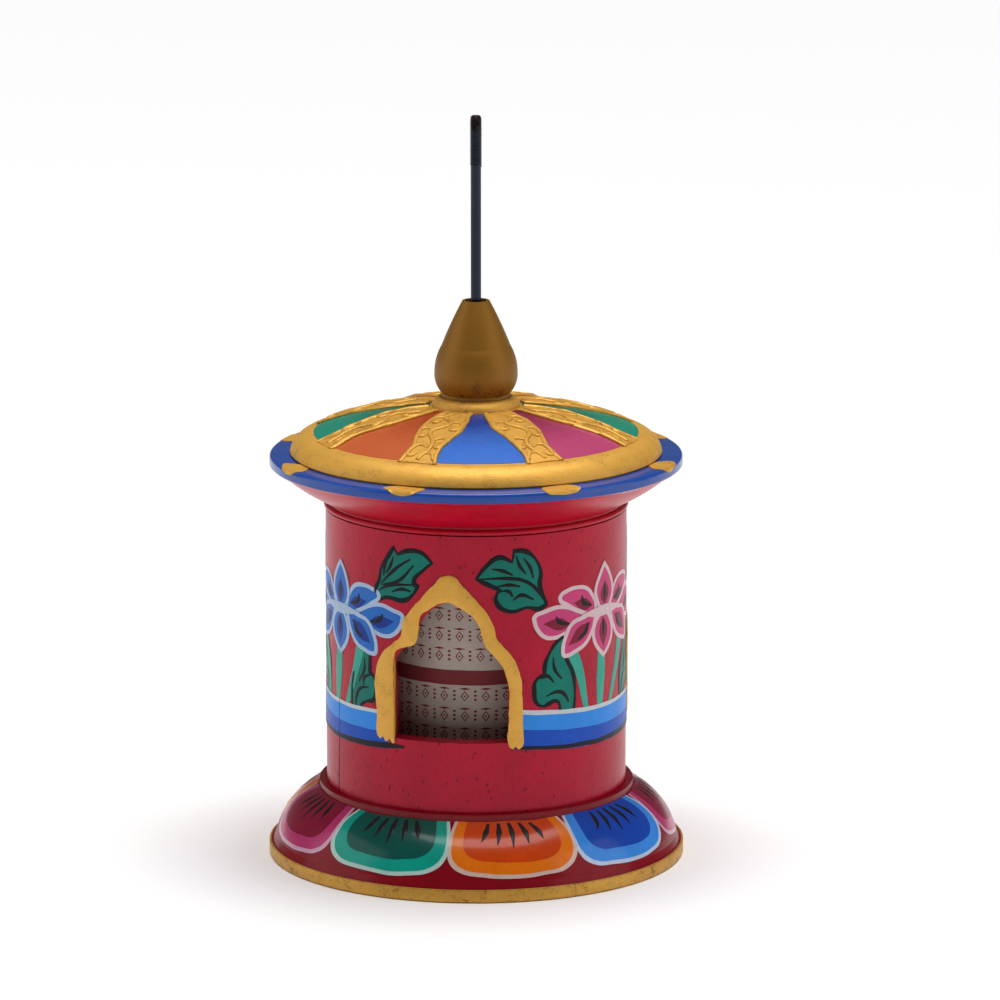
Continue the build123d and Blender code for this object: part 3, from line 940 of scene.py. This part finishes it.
# Leaves as outlines, with the numbers of their sharp points, and their veins.
# Sideways is from the middle of the window on the leaf's side.
LEAVES = {
    "upper_right_leaf": (
        (
            (5.2, 60.4), (7.0, 62.7), (9.4, 64.3), (12.0, 63.4), (12.4, 65.6), (14.7, 65.3), (16.6, 63.8),
            (17.8, 61.4), (17.6, 58.6), (18.2, 56.8), (18.9, 54.6), (17.4, 53.9), (15.1, 54.5),
            (11.8, 53.8), (9.2, 55.2), (9.0, 57.2), (9.7, 58.0), (7.0, 59.3),
        ),
        (0, 3, 4, 10, 16),
        (
            ((5.6, 60.3), (11.4, 60.3), (15.3, 59.1), (17.6, 57.0), (18.7, 55.0)),
            ((8.0, 62.2), (10.2, 61.8), (12.2, 60.9)),
            ((9.0, 58.8), (11.4, 59.0), (13.6, 58.5)),
            ((12.7, 64.6), (13.6, 62.5), (14.8, 60.9)),
            ((14.3, 64.0), (15.6, 62.2), (16.3, 60.0)),
            ((9.8, 57.8), (11.4, 57.7), (12.2, 56.6)),
            ((12.2, 56.0), (13.8, 56.9), (16.4, 55.9)),
        ),
    ),
    "upper_left_leaf": (
        (
            (-3.2, 63.1), (-5.6, 65.0), (-8.3, 65.1), (-10.4, 64.1), (-11.3, 65.5), (-12.5, 63.7),
            (-14.1, 61.4), (-14.7, 58.8), (-15.7, 56.8), (-15.6, 54.4), (-12.9, 55.6), (-9.0, 55.5),
            (-7.2, 56.8), (-6.1, 58.4), (-6.9, 58.8), (-4.9, 61.6),
        ),
        (0, 3, 4, 9, 13),
        (
            ((-12.6, 63.3), (-13.4, 61.5), (-13.6, 59.7)),
            ((-11.4, 63.6), (-12.0, 61.9), (-13.1, 60.2)),
            ((-14.3, 58.1), (-11.4, 60.9), (-7.6, 63.5)),
            ((-14.1, 57.9), (-10.0, 59.3), (-6.9, 62.3)),
            ((-14.7, 56.8), (-12.5, 58.0), (-7.3, 58.6)),
            ((-11.8, 56.9), (-9.7, 57.6), (-7.6, 57.3)),
        ),
    ),
    "lower_right_leaf": (
        (
            (22.6, 48.0), (23.3, 43.9), (25.0, 40.3), (25.5, 36.5), (25.3, 32.8), (21.9, 33.2),
            (22.0, 34.6), (21.1, 35.7), (19.6, 35.3), (18.4, 34.9), (16.9, 35.8), (16.4, 38.0),
            (16.9, 40.2), (18.6, 40.7), (18.7, 42.9), (19.6, 45.0), (21.1, 47.0),
        ),
        (0, 4, 5, 13),
        (
            ((20.5, 44.3), (20.8, 41.9), (22.4, 39.7)),
            ((17.5, 41.0), (19.4, 40.7), (20.6, 39.4)),
            ((18.9, 36.9), (21.4, 37.5), (22.9, 36.8), (24.0, 35.0)),
        ),
    ),
    "lower_left_leaf": (
        (
            (-17.4, 46.8), (-17.1, 44.4), (-17.3, 40.4), (-16.0, 39.4), (-15.6, 37.1), (-16.1, 35.1),
            (-18.2, 34.4), (-19.7, 33.4), (-19.8, 32.0), (-22.4, 31.8), (-22.7, 35.4), (-22.3, 38.3),
            (-21.0, 41.6), (-18.9, 45.1),
        ),
        (0, 2, 8, 9),
        (
            ((-18.7, 43.0), (-18.8, 40.6), (-20.4, 38.0)),
            ((-16.8, 40.0), (-18.8, 39.0), (-19.0, 37.5)),
            ((-17.5, 37.4), (-20.1, 36.6), (-21.1, 35.0), (-21.5, 33.0)),
        ),
    ),
}


class PRAYERWHEEL_OT_leaves(bpy.types.Operator):
    """Paint the dark green leaves beside each window"""

    bl_idname = "prayer_wheel.leaves"
    bl_label = "Leaves"

    def execute(self, context):
        # Green body colour with thin black outline and veins
        tones = [
            artist_paint("leaf_green_paint", "#048474", 0.7, 0.6),
            artist_paint("leaf_line_paint", "#0C1418", 0.3, 0.7),
        ]
        for number, turn in enumerate(WINDOW_TURNS, start=1):
            place = on_cylinder(barrel_radius, turn)
            for name, (outline, corners, veins) in LEAVES.items():
                piece = bmesh.new()
                hand = (0.2, 5.0, number)
                coat(piece, outline, place, COAT, corners, 0, 1.5, hand=hand)
                widths = [0.55 + 0.25 * (index % 3) for index in range(len(outline))]
                brush_line(piece, outline, widths, place, COAT, 0.05, 1, corners, closed=True, hand=hand)
                for vein in veins:
                    widths = [0.25] + [0.75] * (len(vein) - 2) + [0.35]
                    brush_line(piece, vein, widths, place, COAT, 0.05, 1, hand=hand)
                finish_piece(f"{name}_{number}", piece, "case", tones)
        return {"FINISHED"}


# Paints of the foot's petals in order round it, and the first one's angle from the front in degrees
FOOT_PETALS = ("orange", "blue", "pink", "green", "orange", "blue", "orange", "pink", "green")
FIRST_PETAL_TURN = 21.6
# Outline, ring and middle of each petal paint
FOOT_PETAL_PAINTS = {
    "orange": ("#DCC0B4", "#EC760A", "#D24402"),
    "blue": ("#C4D6F0", "#3C90EC", "#1848B4"),
    "pink": ("#DCACC4", "#C03470", "#8C0C34"),
    "green": ("#BCDCD4", "#08A490", "#04564C"),
}
PETAL_HALF_WIDTH = 12.75
# Ends of a petal as ways up the foot's profile
PETAL_TOP = 13.1
PETAL_BOTTOM = 0.5


def bowl_outline(inset):
    """A foot petal with a flat top and a rounded bottom, drawn in at its sides and bottom."""
    half = PETAL_HALF_WIDTH - inset
    bottom = PETAL_BOTTOM + inset
    side = ((0.94, 1.0), (0.99, 0.75), (1.0, 0.5), (0.96, 0.28), (0.8, 0.11), (0.42, 0.02))
    right = [(half * x, bottom + (PETAL_TOP - bottom) * y) for x, y in side]
    left = [(-x, y) for x, y in reversed(right)]
    return right + [(0.0, bottom)] + left


class PRAYERWHEEL_OT_foot(bpy.types.Operator):
    """Brush the foot with red enamel and paint its ring of lotus petals"""

    bl_idname = "prayer_wheel.foot"
    bl_label = "Foot and petals"

    def execute(self, context):
        red = context.scene.prayer_wheel_colours.foot_red
        # Red oil enamel brushed round the turned foot
        dress("foot", enamel("red_enamel_on_foot", red, (3.5, 3.5, 0.8), ridge=0.02))
        black = artist_paint("black_petal_line_paint", "#1E1A1E", 0.3, 0.7)
        paints = {}
        for name, hex_values in FOOT_PETAL_PAINTS.items():
            # Gloss artist's paint: pale outline, bright ring, deep middle
            paints[name] = [
                artist_paint(f"{shade}_{name}_foot_paint", value, 0.8, 0.75, 0.3, 0.3)
                for shade, value in zip(("pale", "bright", "deep"), hex_values)
            ]
        for number, name in enumerate(FOOT_PETALS, start=1):
            piece = bmesh.new()
            place = on_foot(FIRST_PETAL_TURN + 360 / len(FOOT_PETALS) * (number - 1))
            hand = (0.3, 6.0, number)
            for tone, inset in enumerate((0.0, 0.75, 3.0)):
                lift = COAT * (tone + 1)
                coat(piece, bowl_outline(inset), place, lift, (0, 12), tone, 1.0, True, hand)
            for lean in (-2, -1, 0, 1, 2):
                top = (lean * 2.3, 12.5)
                middle = (lean * 2.75 + 0.25, 10.0)
                bottom = (lean * 3.1, 6.4 + 0.8 * abs(lean))
                points = (top, middle, bottom)
                brush_line(piece, points, (0.7, 1.25, 0.15), place, COAT * 3, 0.06, 3, hand=hand)
            finish_piece(f"foot_petal_{number}", piece, "case", paints[name] + [black])
        return {"FINISHED"}


class PRAYERWHEEL_OT_foot_band(bpy.types.Operator):
    """Gild the band round the bottom of the foot"""

    bl_idname = "prayer_wheel.foot_band"
    bl_label = "Foot band"

    def execute(self, context):
        gold = context.scene.prayer_wheel_colours.gold
        # Brass-powder paint on bare edge wood: worn, with brown specks
        worn = gilding(
            "worn_gold_foot_band", scaled(gold, 0.85), linear_colour("#6A3808"), 0.6, 0.06, 0.45, 0.42
        )
        outer = foot_radius + 0.04
        profile = [
            (outer - 0.25, 0.06),
            (outer, 0.34),
            (outer, 2.4),
            (outer - 0.1, 2.56),
            (foot_radius - 0.35, 2.58),
            (foot_radius - 0.45, 2.3),
            (foot_radius - 0.4, 0.4),
            (foot_radius - 0.6, 0.1),
        ]
        piece = bmesh.new()
        turn_profile(piece, profile)
        finish_piece("gilt_foot_band", piece, "case", [worn])
        return {"FINISHED"}


# The roof repeats this many times round, from the first rib's and the first panel's angles
ROOF_PARTS = 8
ROOF_STEP = 360 / ROOF_PARTS
FIRST_RIB_TURN = 34.5
FIRST_PANEL_TURN = 12
# Distances of a dome panel's ends from the axis
PANEL_INNER = 8.9
PANEL_OUTER = 31.2
# A gold daub's half width and half depth, and the distance of its middle from the axis
DAUB_WIDE = 4.0
DAUB_DEEP = 2.3
DAUB_REACH = 37.9
# The lower lip of the rim's blue paint as (radius, height), outside and then inside
RIM_LIP = ((38.55, 76.42), (39.0, 76.62), (39.5, 76.85))
RIM_LIP_INSIDE = ((39.55, 78.2), (39.55, 77.15), (38.6, 76.5))


class PRAYERWHEEL_OT_cornice(bpy.types.Operator):
    """Brush the cornice with red enamel, and paint its rim blue with gold daubs"""

    bl_idname = "prayer_wheel.cornice"
    bl_label = "Cornice and rim"

    def execute(self, context):
        colours = context.scene.prayer_wheel_colours
        # Red oil enamel brushed round the turned moulding
        dress("cornice", enamel("red_enamel_on_cornice", colours.cornice_red, (4.0, 4.0, 0.7)))
        # Blue oil enamel on the rim: glossier, so its flat top mirrors the room
        blue = enamel("blue_enamel_on_rim", scaled(colours.blue, 0.85), (3.5, 3.5, 0.6), coat_weight=0.6)
        piece = bmesh.new()
        outer = rim_radius + 0.05
        top = rim_top + 0.05
        profile = [*RIM_LIP, (outer, 77.05), (outer, 78.3)]
        profile += arc_points((outer, 78.3), (outer - 0.6, top), 0.17, 4)
        profile += [(35.0, top), (35.0, rim_top - 0.1), (39.0, rim_top - 0.1), *RIM_LIP_INSIDE]
        turn_profile(piece, profile)
        for vertex in piece.verts:
            if vertex.co.z < 76.7 * MM:
                vertex.co.z += noise.noise(vertex.co / (6 * MM)) * 0.2 * MM
        finish_piece("blue_rim_paint", piece, "roof", [blue])
        # Brass-powder paint dabbed on with a loaded brush
        gold = gilding("gold_daub_paint", colours.gold, linear_colour("#9A5A14"), 0.5, 0.05)
        for number in range(ROOF_PARTS):
            piece = bmesh.new()
            chance = random.Random(number + 11)
            outline = []
            for index in range(10):
                angle = math.radians(36 * index)
                wide = DAUB_WIDE * (1 + chance.uniform(-0.18, 0.18))
                deep = DAUB_DEEP * (1 + chance.uniform(-0.15, 0.15))
                outline.append((wide * math.cos(angle), DAUB_REACH + deep * math.sin(angle)))
            place = on_rim(FIRST_RIB_TURN + ROOF_STEP * number)
            coat(piece, outline, place, 0.16, (), 0, 0.5, True)
            finish_piece(f"gold_daub_{number + 1}", piece, "roof", [gold])
        return {"FINISHED"}


class PRAYERWHEEL_OT_dome(bpy.types.Operator):
    """Gild the dome and paint its eight panels"""

    bl_idname = "prayer_wheel.dome"
    bl_label = "Dome and panels"

    def execute(self, context):
        colours = context.scene.prayer_wheel_colours
        # Brass-powder paint over sandy gesso on the dome's skirt and collar
        dress("dome", gilding("gilded_gesso_dome", scaled(colours.gold, 1.1), linear_colour("#A87430")))
        # Gloss paint dragged out from the finial, with a painted sheen that lightens each panel towards
        # the skirt
        paints = [
            panel_paint("blue_panel_paint", "#06348C", "#2C6CCC"),
            panel_paint("pink_panel_paint", "#861440", "#B8406E"),
            panel_paint("green_panel_paint", "#04604E", "#128A70"),
            panel_paint("orange_panel_paint", "#A83A0A", "#C45C2C"),
        ]
        turns = (-22.5, -11.25, 0.0, 11.25, 22.5)
        for number in range(ROOF_PARTS):
            outline = [(PANEL_OUTER, turn) for turn in turns]
            outline += [(PANEL_INNER, turn) for turn in reversed(turns)]
            points = [
                (radius * math.sin(math.radians(turn)), radius * math.cos(math.radians(turn)))
                for radius, turn in outline
            ]
            piece = bmesh.new()
            place = on_dome(FIRST_PANEL_TURN + ROOF_STEP * number)
            coat(piece, points, place, COAT * 2, (0, 4, 5, 9), 0, 1.4, both_ways=True)
            finish_piece(f"dome_panel_{number + 1}", piece, "roof", [paints[number % 4]])
        return {"FINISHED"}


# One edge of a rib as (outward, half width), the other being its mirror image
RIB_EDGE = ((9.2, 2.6), (13.5, 3.7), (18.5, 4.3), (23.0, 3.7), (26.5, 3.2), (29.5, 3.4), (31.6, 3.9))
# Scrolls on a rib as (sideways, outward) points with widths
RIB_SCROLLS = (
    (((0.0, 9.6), (1.2, 12.8), (-0.9, 16.4), (1.4, 20.6), (-0.8, 25.0), (0.3, 30.8)), 1.1),
    (((0.9, 12.6), (2.6, 13.2), (3.0, 15.2), (1.9, 16.0), (1.5, 14.9)), 0.95),
    (((-0.8, 15.6), (-2.9, 15.6), (-3.6, 17.9), (-2.4, 19.2), (-1.7, 17.9)), 1.0),
    (((1.0, 19.6), (3.0, 19.0), (3.5, 21.2), (2.3, 22.6), (1.8, 21.2)), 1.0),
    (((-0.5, 23.9), (-2.4, 23.0), (-3.0, 25.2), (-2.0, 26.7), (-1.5, 25.4)), 0.95),
    (((-0.3, 26.8), (1.7, 26.0), (2.7, 27.8), (2.0, 29.8), (1.2, 28.6)), 0.95),
    (((-0.2, 28.6), (-1.8, 28.6), (-2.8, 30.4)), 0.9),
)


class PRAYERWHEEL_OT_dome_ribs(bpy.types.Operator):
    """Model the roof's ribs in gesso with trailed scrolls, and gild them"""

    bl_idname = "prayer_wheel.dome_ribs"
    bl_label = "Dome ribs"

    def execute(self, context):
        gold_colour = context.scene.prayer_wheel_colours.gold
        relief = context.scene.prayer_wheel_sizes.rib_relief / MM
        # Brass-powder paint over trailed gesso: bright ridges, brown hollows
        gold = gilding("gilded_gesso_ribs", gold_colour, linear_colour("#8C5414"), 0.4, 0.08)
        for number in range(ROOF_PARTS):
            piece = bmesh.new()
            place = on_dome(FIRST_RIB_TURN + ROOF_STEP * number)
            mirrored = -1 if number % 2 else 1
            hand = (0.35, 3.0, number)
            right = [(x, y) for y, x in RIB_EDGE]
            left = [(-x, y) for x, y in reversed(right)]
            ends = (0, 6, 7, 13)
            coat(piece, right + left, place, 0.3, ends, 0, 1.4, True, hand)
            for edge in (right, left):
                drawn_in = [(x * 0.88, y) for x, y in edge]
                brush_line(
                    piece, drawn_in, [1.0] * len(drawn_in), place, 0.22, relief * 0.8, 0, hand=hand
                )
            for points, width in RIB_SCROLLS:
                swung = [(x * mirrored, y) for x, y in points]
                widths = [width * 0.7] + [width] * (len(points) - 2) + [width * 0.8]
                brush_line(piece, swung, widths, place, 0.25, relief, 0, hand=hand)
            rib = finish_piece(f"gesso_rib_{number + 1}", piece, "roof", [gold])
            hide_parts(f"dome_rib_{number + 1}")
        return {"FINISHED"}


class PRAYERWHEEL_OT_finial(bpy.types.Operator):
    """Gild the finial with old gold"""

    bl_idname = "prayer_wheel.finial"
    bl_label = "Finial"

    def execute(self, context):
        gold = context.scene.prayer_wheel_colours.old_gold
        # Old gold on the finial, with a dark brown painted shade low down on the bud
        dress("finial", finial_gilding("old_gold_on_finial", gold, linear_colour("#522804")))
        return {"FINISHED"}


SHANK_RADIUS = 1.0
THREAD_LENGTH = 10.1
THREAD_STEPS = 24
# One ridge of the thread as (radius, rise)
THREAD_SECTION = ((0.9, 0.0), (1.0, 0.04), (1.15, 0.17), (1.15, 0.26), (1.0, 0.39), (0.9, 0.43))
# Height at which the brown residue in the threads begins
RESIDUE_LEVEL = 140.6


class PRAYERWHEEL_OT_spindle(bpy.types.Operator):
    """Draw the spindle and roll its thread"""

    bl_idname = "prayer_wheel.spindle"
    bl_label = "Spindle"

    def execute(self, context):
        pitch = context.scene.prayer_wheel_sizes.thread_pitch / MM
        steel = rod_steel(
            "plated_spoke_steel", linear_colour("#2C313B"), linear_colour("#1E1412"), RESIDUE_LEVEL
        )
        thread_bottom = spindle_top - THREAD_LENGTH
        profile = [
            (0.0, spindle_bottom),
            (SHANK_RADIUS, spindle_bottom + 1.0),
            (SHANK_RADIUS, thread_bottom),
            (SHANK_RADIUS + 0.02, spindle_top - 0.3),
            (SHANK_RADIUS - 0.25, spindle_top),
            (0.0, spindle_top),
        ]
        piece = bmesh.new()
        turn_profile(piece, profile, steps=48, closed=False)
        ridge = bmesh.new()
        start = thread_bottom + 0.2
        corners = [
            ridge.verts.new((radius * MM, 0, (start + rise) * MM)) for radius, rise in THREAD_SECTION
        ]
        face = ridge.faces.new(corners)
        turns = int((spindle_top - 0.5 - start) / pitch)
        bmesh.ops.spin(
            ridge,
            geom=corners + face.edges[:] + [face],
            cent=(0, 0, 0),
            axis=(0, 0, 1),
            dvec=(0, 0, pitch * MM / THREAD_STEPS),
            angle=2 * math.pi * turns,
            steps=THREAD_STEPS * turns,
        )
        lay(piece, ridge, lambda point: point.copy(), 0, sharp=60)
        rod = finish_piece("threaded_spindle", piece, "drum", [steel])
        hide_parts("spindle")
        return {"FINISHED"}


class PRAYERWHEEL_OT_inner_parts(bpy.types.Operator):
    """Finish the drum's wood, the rolled paper and the bearings"""

    bl_idname = "prayer_wheel.inner_parts"
    bl_label = "Inner parts"

    def execute(self, context):
        colours = context.scene.prayer_wheel_colours
        brass = turned_brass("turned_brass", linear_colour("#B5924C"))
        for node in ("pivot_cup", "top_bush", "lower_collar", "upper_collar"):
            dress(node, brass)
        wood = bare_softwood("bare_softwood", linear_colour("#C29A66"))
        for node in ("lower_cheek", "upper_cheek", "drum_core"):
            dress(node, wood)
        dress("prayer_roll", bark_paper("rolled_bark_paper", colours.paper, lying=1))
        dress("printed_wrapper", bark_paper("printed_bark_paper", colours.paper))
        return {"FINISHED"}


# Lower and upper edge of the red band, and the first rows of ornament above and below it
RED_BAND = (37.0, 39.9)
FIRST_ROW_UP = 42.8
FIRST_ROW_DOWN = 35.0
MOTIFS_IN_ROW = 56
# How far rows keep from the drum's ends, and how far the ink stands out
ROW_MARGIN = 1.9
PRINT_HEIGHT = 0.04


class PRAYERWHEEL_OT_drum_print(bpy.types.Operator):
    """Print the drum's red band and its rows of plain ornament"""

    bl_idname = "prayer_wheel.drum_print"
    bl_label = "Drum print"

    def execute(self, context):
        ink_colour = context.scene.prayer_wheel_colours.print_red
        pitch = context.scene.prayer_wheel_sizes.row_pitch / MM
        # Water-based block ink soaked into paper: dull, patchy
        ink = bark_paper("red_block_ink", ink_colour, 0.3)
        band = bmesh.new()
        inner = drum_radius - 0.1
        outer = drum_radius + PRINT_HEIGHT
        low, high = RED_BAND
        turn_profile(band, [(inner, low), (outer, low), (outer, high), (inner, high)])
        for vertex in band.verts:
            vertex.co.z += noise.noise(vertex.co / (4 * MM)) * 0.12 * MM
        finish_piece("printed_band", band, "drum", [ink])
        rows = bmesh.new()
        levels = [FIRST_ROW_UP + pitch * index for index in range(5)]
        levels += [FIRST_ROW_DOWN - pitch * index for index in range(6)]
        for level in levels:
            if not drum_bottom + ROW_MARGIN < level < drum_top - ROW_MARGIN:
                continue
            for index in range(MOTIFS_IN_ROW):
                middle = 360 * (index + 0.5 * (int(level) % 2)) / MOTIFS_IN_ROW
                self.ornament(rows, index % 2, on_cylinder(drum_radius, middle), level)
        finish_piece("printed_ornament", rows, "drum", [ink])
        return {"FINISHED"}

    def ornament(self, rows, kind, place, level):
        """One printed motif: a lozenge ring with a dot under a bar, or a column of three dots."""
        shapes = (
            ((0, -0.15, 0.8, 1.05, 4, 0.26), (0, -0.15, 0.2, 0.2, 6, 0), (0, 1.3, 1.2, 0.22, 4, 0)),
            ((0, 0.8, 0.3, 0.24, 6, 0), (0, 0, 0.3, 0.24, 6, 0), (0, -0.8, 0.3, 0.24, 6, 0)),
        )[kind]
        for x, y, half_width, half_height, sides, ring in shapes:
            flat = bmesh.new()
            bmesh.ops.create_circle(flat, cap_ends=True, segments=sides, radius=1.0)
            for vertex in flat.verts:
                vertex.co.x *= half_width
                vertex.co.y *= half_height
            if ring:
                bmesh.ops.inset_individual(flat, faces=flat.faces[:], thickness=ring)
                middle = min(flat.faces, key=lambda face: face.calc_center_median().length)
                bmesh.ops.delete(flat, geom=[middle], context="FACES_ONLY")
            for vertex in flat.verts:
                vertex.co.x += x
                vertex.co.y += y + level
            thicken(flat, -PRINT_HEIGHT, PRINT_HEIGHT)
            lay(rows, flat, place, 0)


# The camera's distance, shift to the right and height in millimetres, and its angles in degrees
CAMERA_BACK = 1250
CAMERA_SIDEWAYS = 4.6
CAMERA_HEIGHT = 336.0
CAMERA_TURN = 10
CAMERA_DOWN = 12.04
CAMERA_LENS = 238.9


class PRAYERWHEEL_OT_stage(bpy.types.Operator):
    """Set the floor, the studio lights and the camera"""

    bl_idname = "prayer_wheel.stage"
    bl_label = "Stage"

    def execute(self, context):
        scene = context.scene
        floor_mesh = bpy.data.meshes.new("floor")
        sheet = bmesh.new()
        bmesh.ops.create_grid(sheet, x_segments=1, y_segments=1, size=6.0)
        sheet.to_mesh(floor_mesh)
        sheet.free()
        material, tree = start_material("matt_white_paper_floor")
        add_surface(tree, (0.96, 0.96, 0.96, 1.0), 0.9, Specular_IOR_Level=0.1)
        floor_mesh.materials.append(material)
        show("floor", floor_mesh)
        world = bpy.data.worlds.new("studio")
        world.use_nodes = True
        sky = world.node_tree.nodes["Background"]
        sky.inputs["Color"].default_value = (1.0, 1.0, 1.0, 1.0)
        sky.inputs["Strength"].default_value = 0.11
        scene.world = world
        overhead_data = bpy.data.lights.new("overhead_light", "SUN")
        overhead_data.energy = 2.8
        overhead_data.angle = math.radians(46)
        overhead = show("overhead_light", overhead_data)
        overhead.rotation_euler = Vector((-0.05, -0.05, -1)).to_track_quat("-Z", "Y").to_euler()
        self.soft_light("left_light", (-1.0, -0.2, 0.45), 0.9, 2.5)
        self.soft_light("right_light", (1.0, -0.1, 0.4), 0.9, 2.5)
        camera_data = bpy.data.cameras.new("camera")
        camera_data.sensor_width = 36
        camera_data.lens = CAMERA_LENS
        camera_data.clip_end = 20
        camera = show("camera", camera_data)
        turn = math.radians(CAMERA_TURN)
        away = Matrix.Rotation(turn, 3, "Z")
        camera.location = away @ Vector((CAMERA_SIDEWAYS, -CAMERA_BACK, CAMERA_HEIGHT)) * MM
        camera.rotation_euler = (math.radians(90 - CAMERA_DOWN), 0, turn)
        scene.camera = camera
        scene.view_settings.view_transform = "Standard"
        return {"FINISHED"}

    def soft_light(self, name, place, size, watts):
        """A square softbox that points at the middle of the object."""
        data = bpy.data.lights.new(name, "AREA")
        data.size = size
        data.energy = watts
        light = show(name, data)
        light.location = place
        aim = Vector((0, 0, 0.06)) - Vector(place)
        light.rotation_euler = aim.to_track_quat("-Z", "Y").to_euler()


class PRAYERWHEEL_PT_panel(bpy.types.Panel):
    bl_idname = "PRAYERWHEEL_PT_panel"
    bl_label = "Prayer wheel"
    bl_space_type = "VIEW_3D"
    bl_region_type = "UI"
    bl_category = "Prayer wheel"

    def draw(self, context):
        layout = self.layout
        for group in (context.scene.prayer_wheel_sizes, context.scene.prayer_wheel_colours):
            box = layout.box()
            for name in group.__annotations__:
                box.prop(group, name)
        for operator in OPERATORS:
            layout.operator(operator.bl_idname)


OPERATORS = (
    PRAYERWHEEL_OT_barrel,
    PRAYERWHEEL_OT_window_borders,
    PRAYERWHEEL_OT_wave_band,
    PRAYERWHEEL_OT_leaves,
    PRAYERWHEEL_OT_lotuses,
    PRAYERWHEEL_OT_foot,
    PRAYERWHEEL_OT_foot_band,
    PRAYERWHEEL_OT_cornice,
    PRAYERWHEEL_OT_dome,
    PRAYERWHEEL_OT_dome_ribs,
    PRAYERWHEEL_OT_finial,
    PRAYERWHEEL_OT_spindle,
    PRAYERWHEEL_OT_inner_parts,
    PRAYERWHEEL_OT_drum_print,
    PRAYERWHEEL_OT_stage,
)
CLASSES = (PrayerWheelSizes, PrayerWheelColours, *OPERATORS, PRAYERWHEEL_PT_panel)


def register():
    """Make the sizes, colours, operators and panel known to Blender."""
    for entry in CLASSES:
        bpy.utils.register_class(entry)
    bpy.types.Scene.prayer_wheel_sizes = PointerProperty(type=PrayerWheelSizes)
    bpy.types.Scene.prayer_wheel_colours = PointerProperty(type=PrayerWheelColours)


def unregister():
    """Take them away again."""
    del bpy.types.Scene.prayer_wheel_colours
    del bpy.types.Scene.prayer_wheel_sizes
    for entry in reversed(CLASSES):
        bpy.utils.unregister_class(entry)


def main():
    """Build every piece and the stage in order."""
    register()
    for operator in OPERATORS:
        group, name = operator.bl_idname.split(".")
        getattr(getattr(bpy.ops, group), name)()


if __name__ == "__main__":
    main()
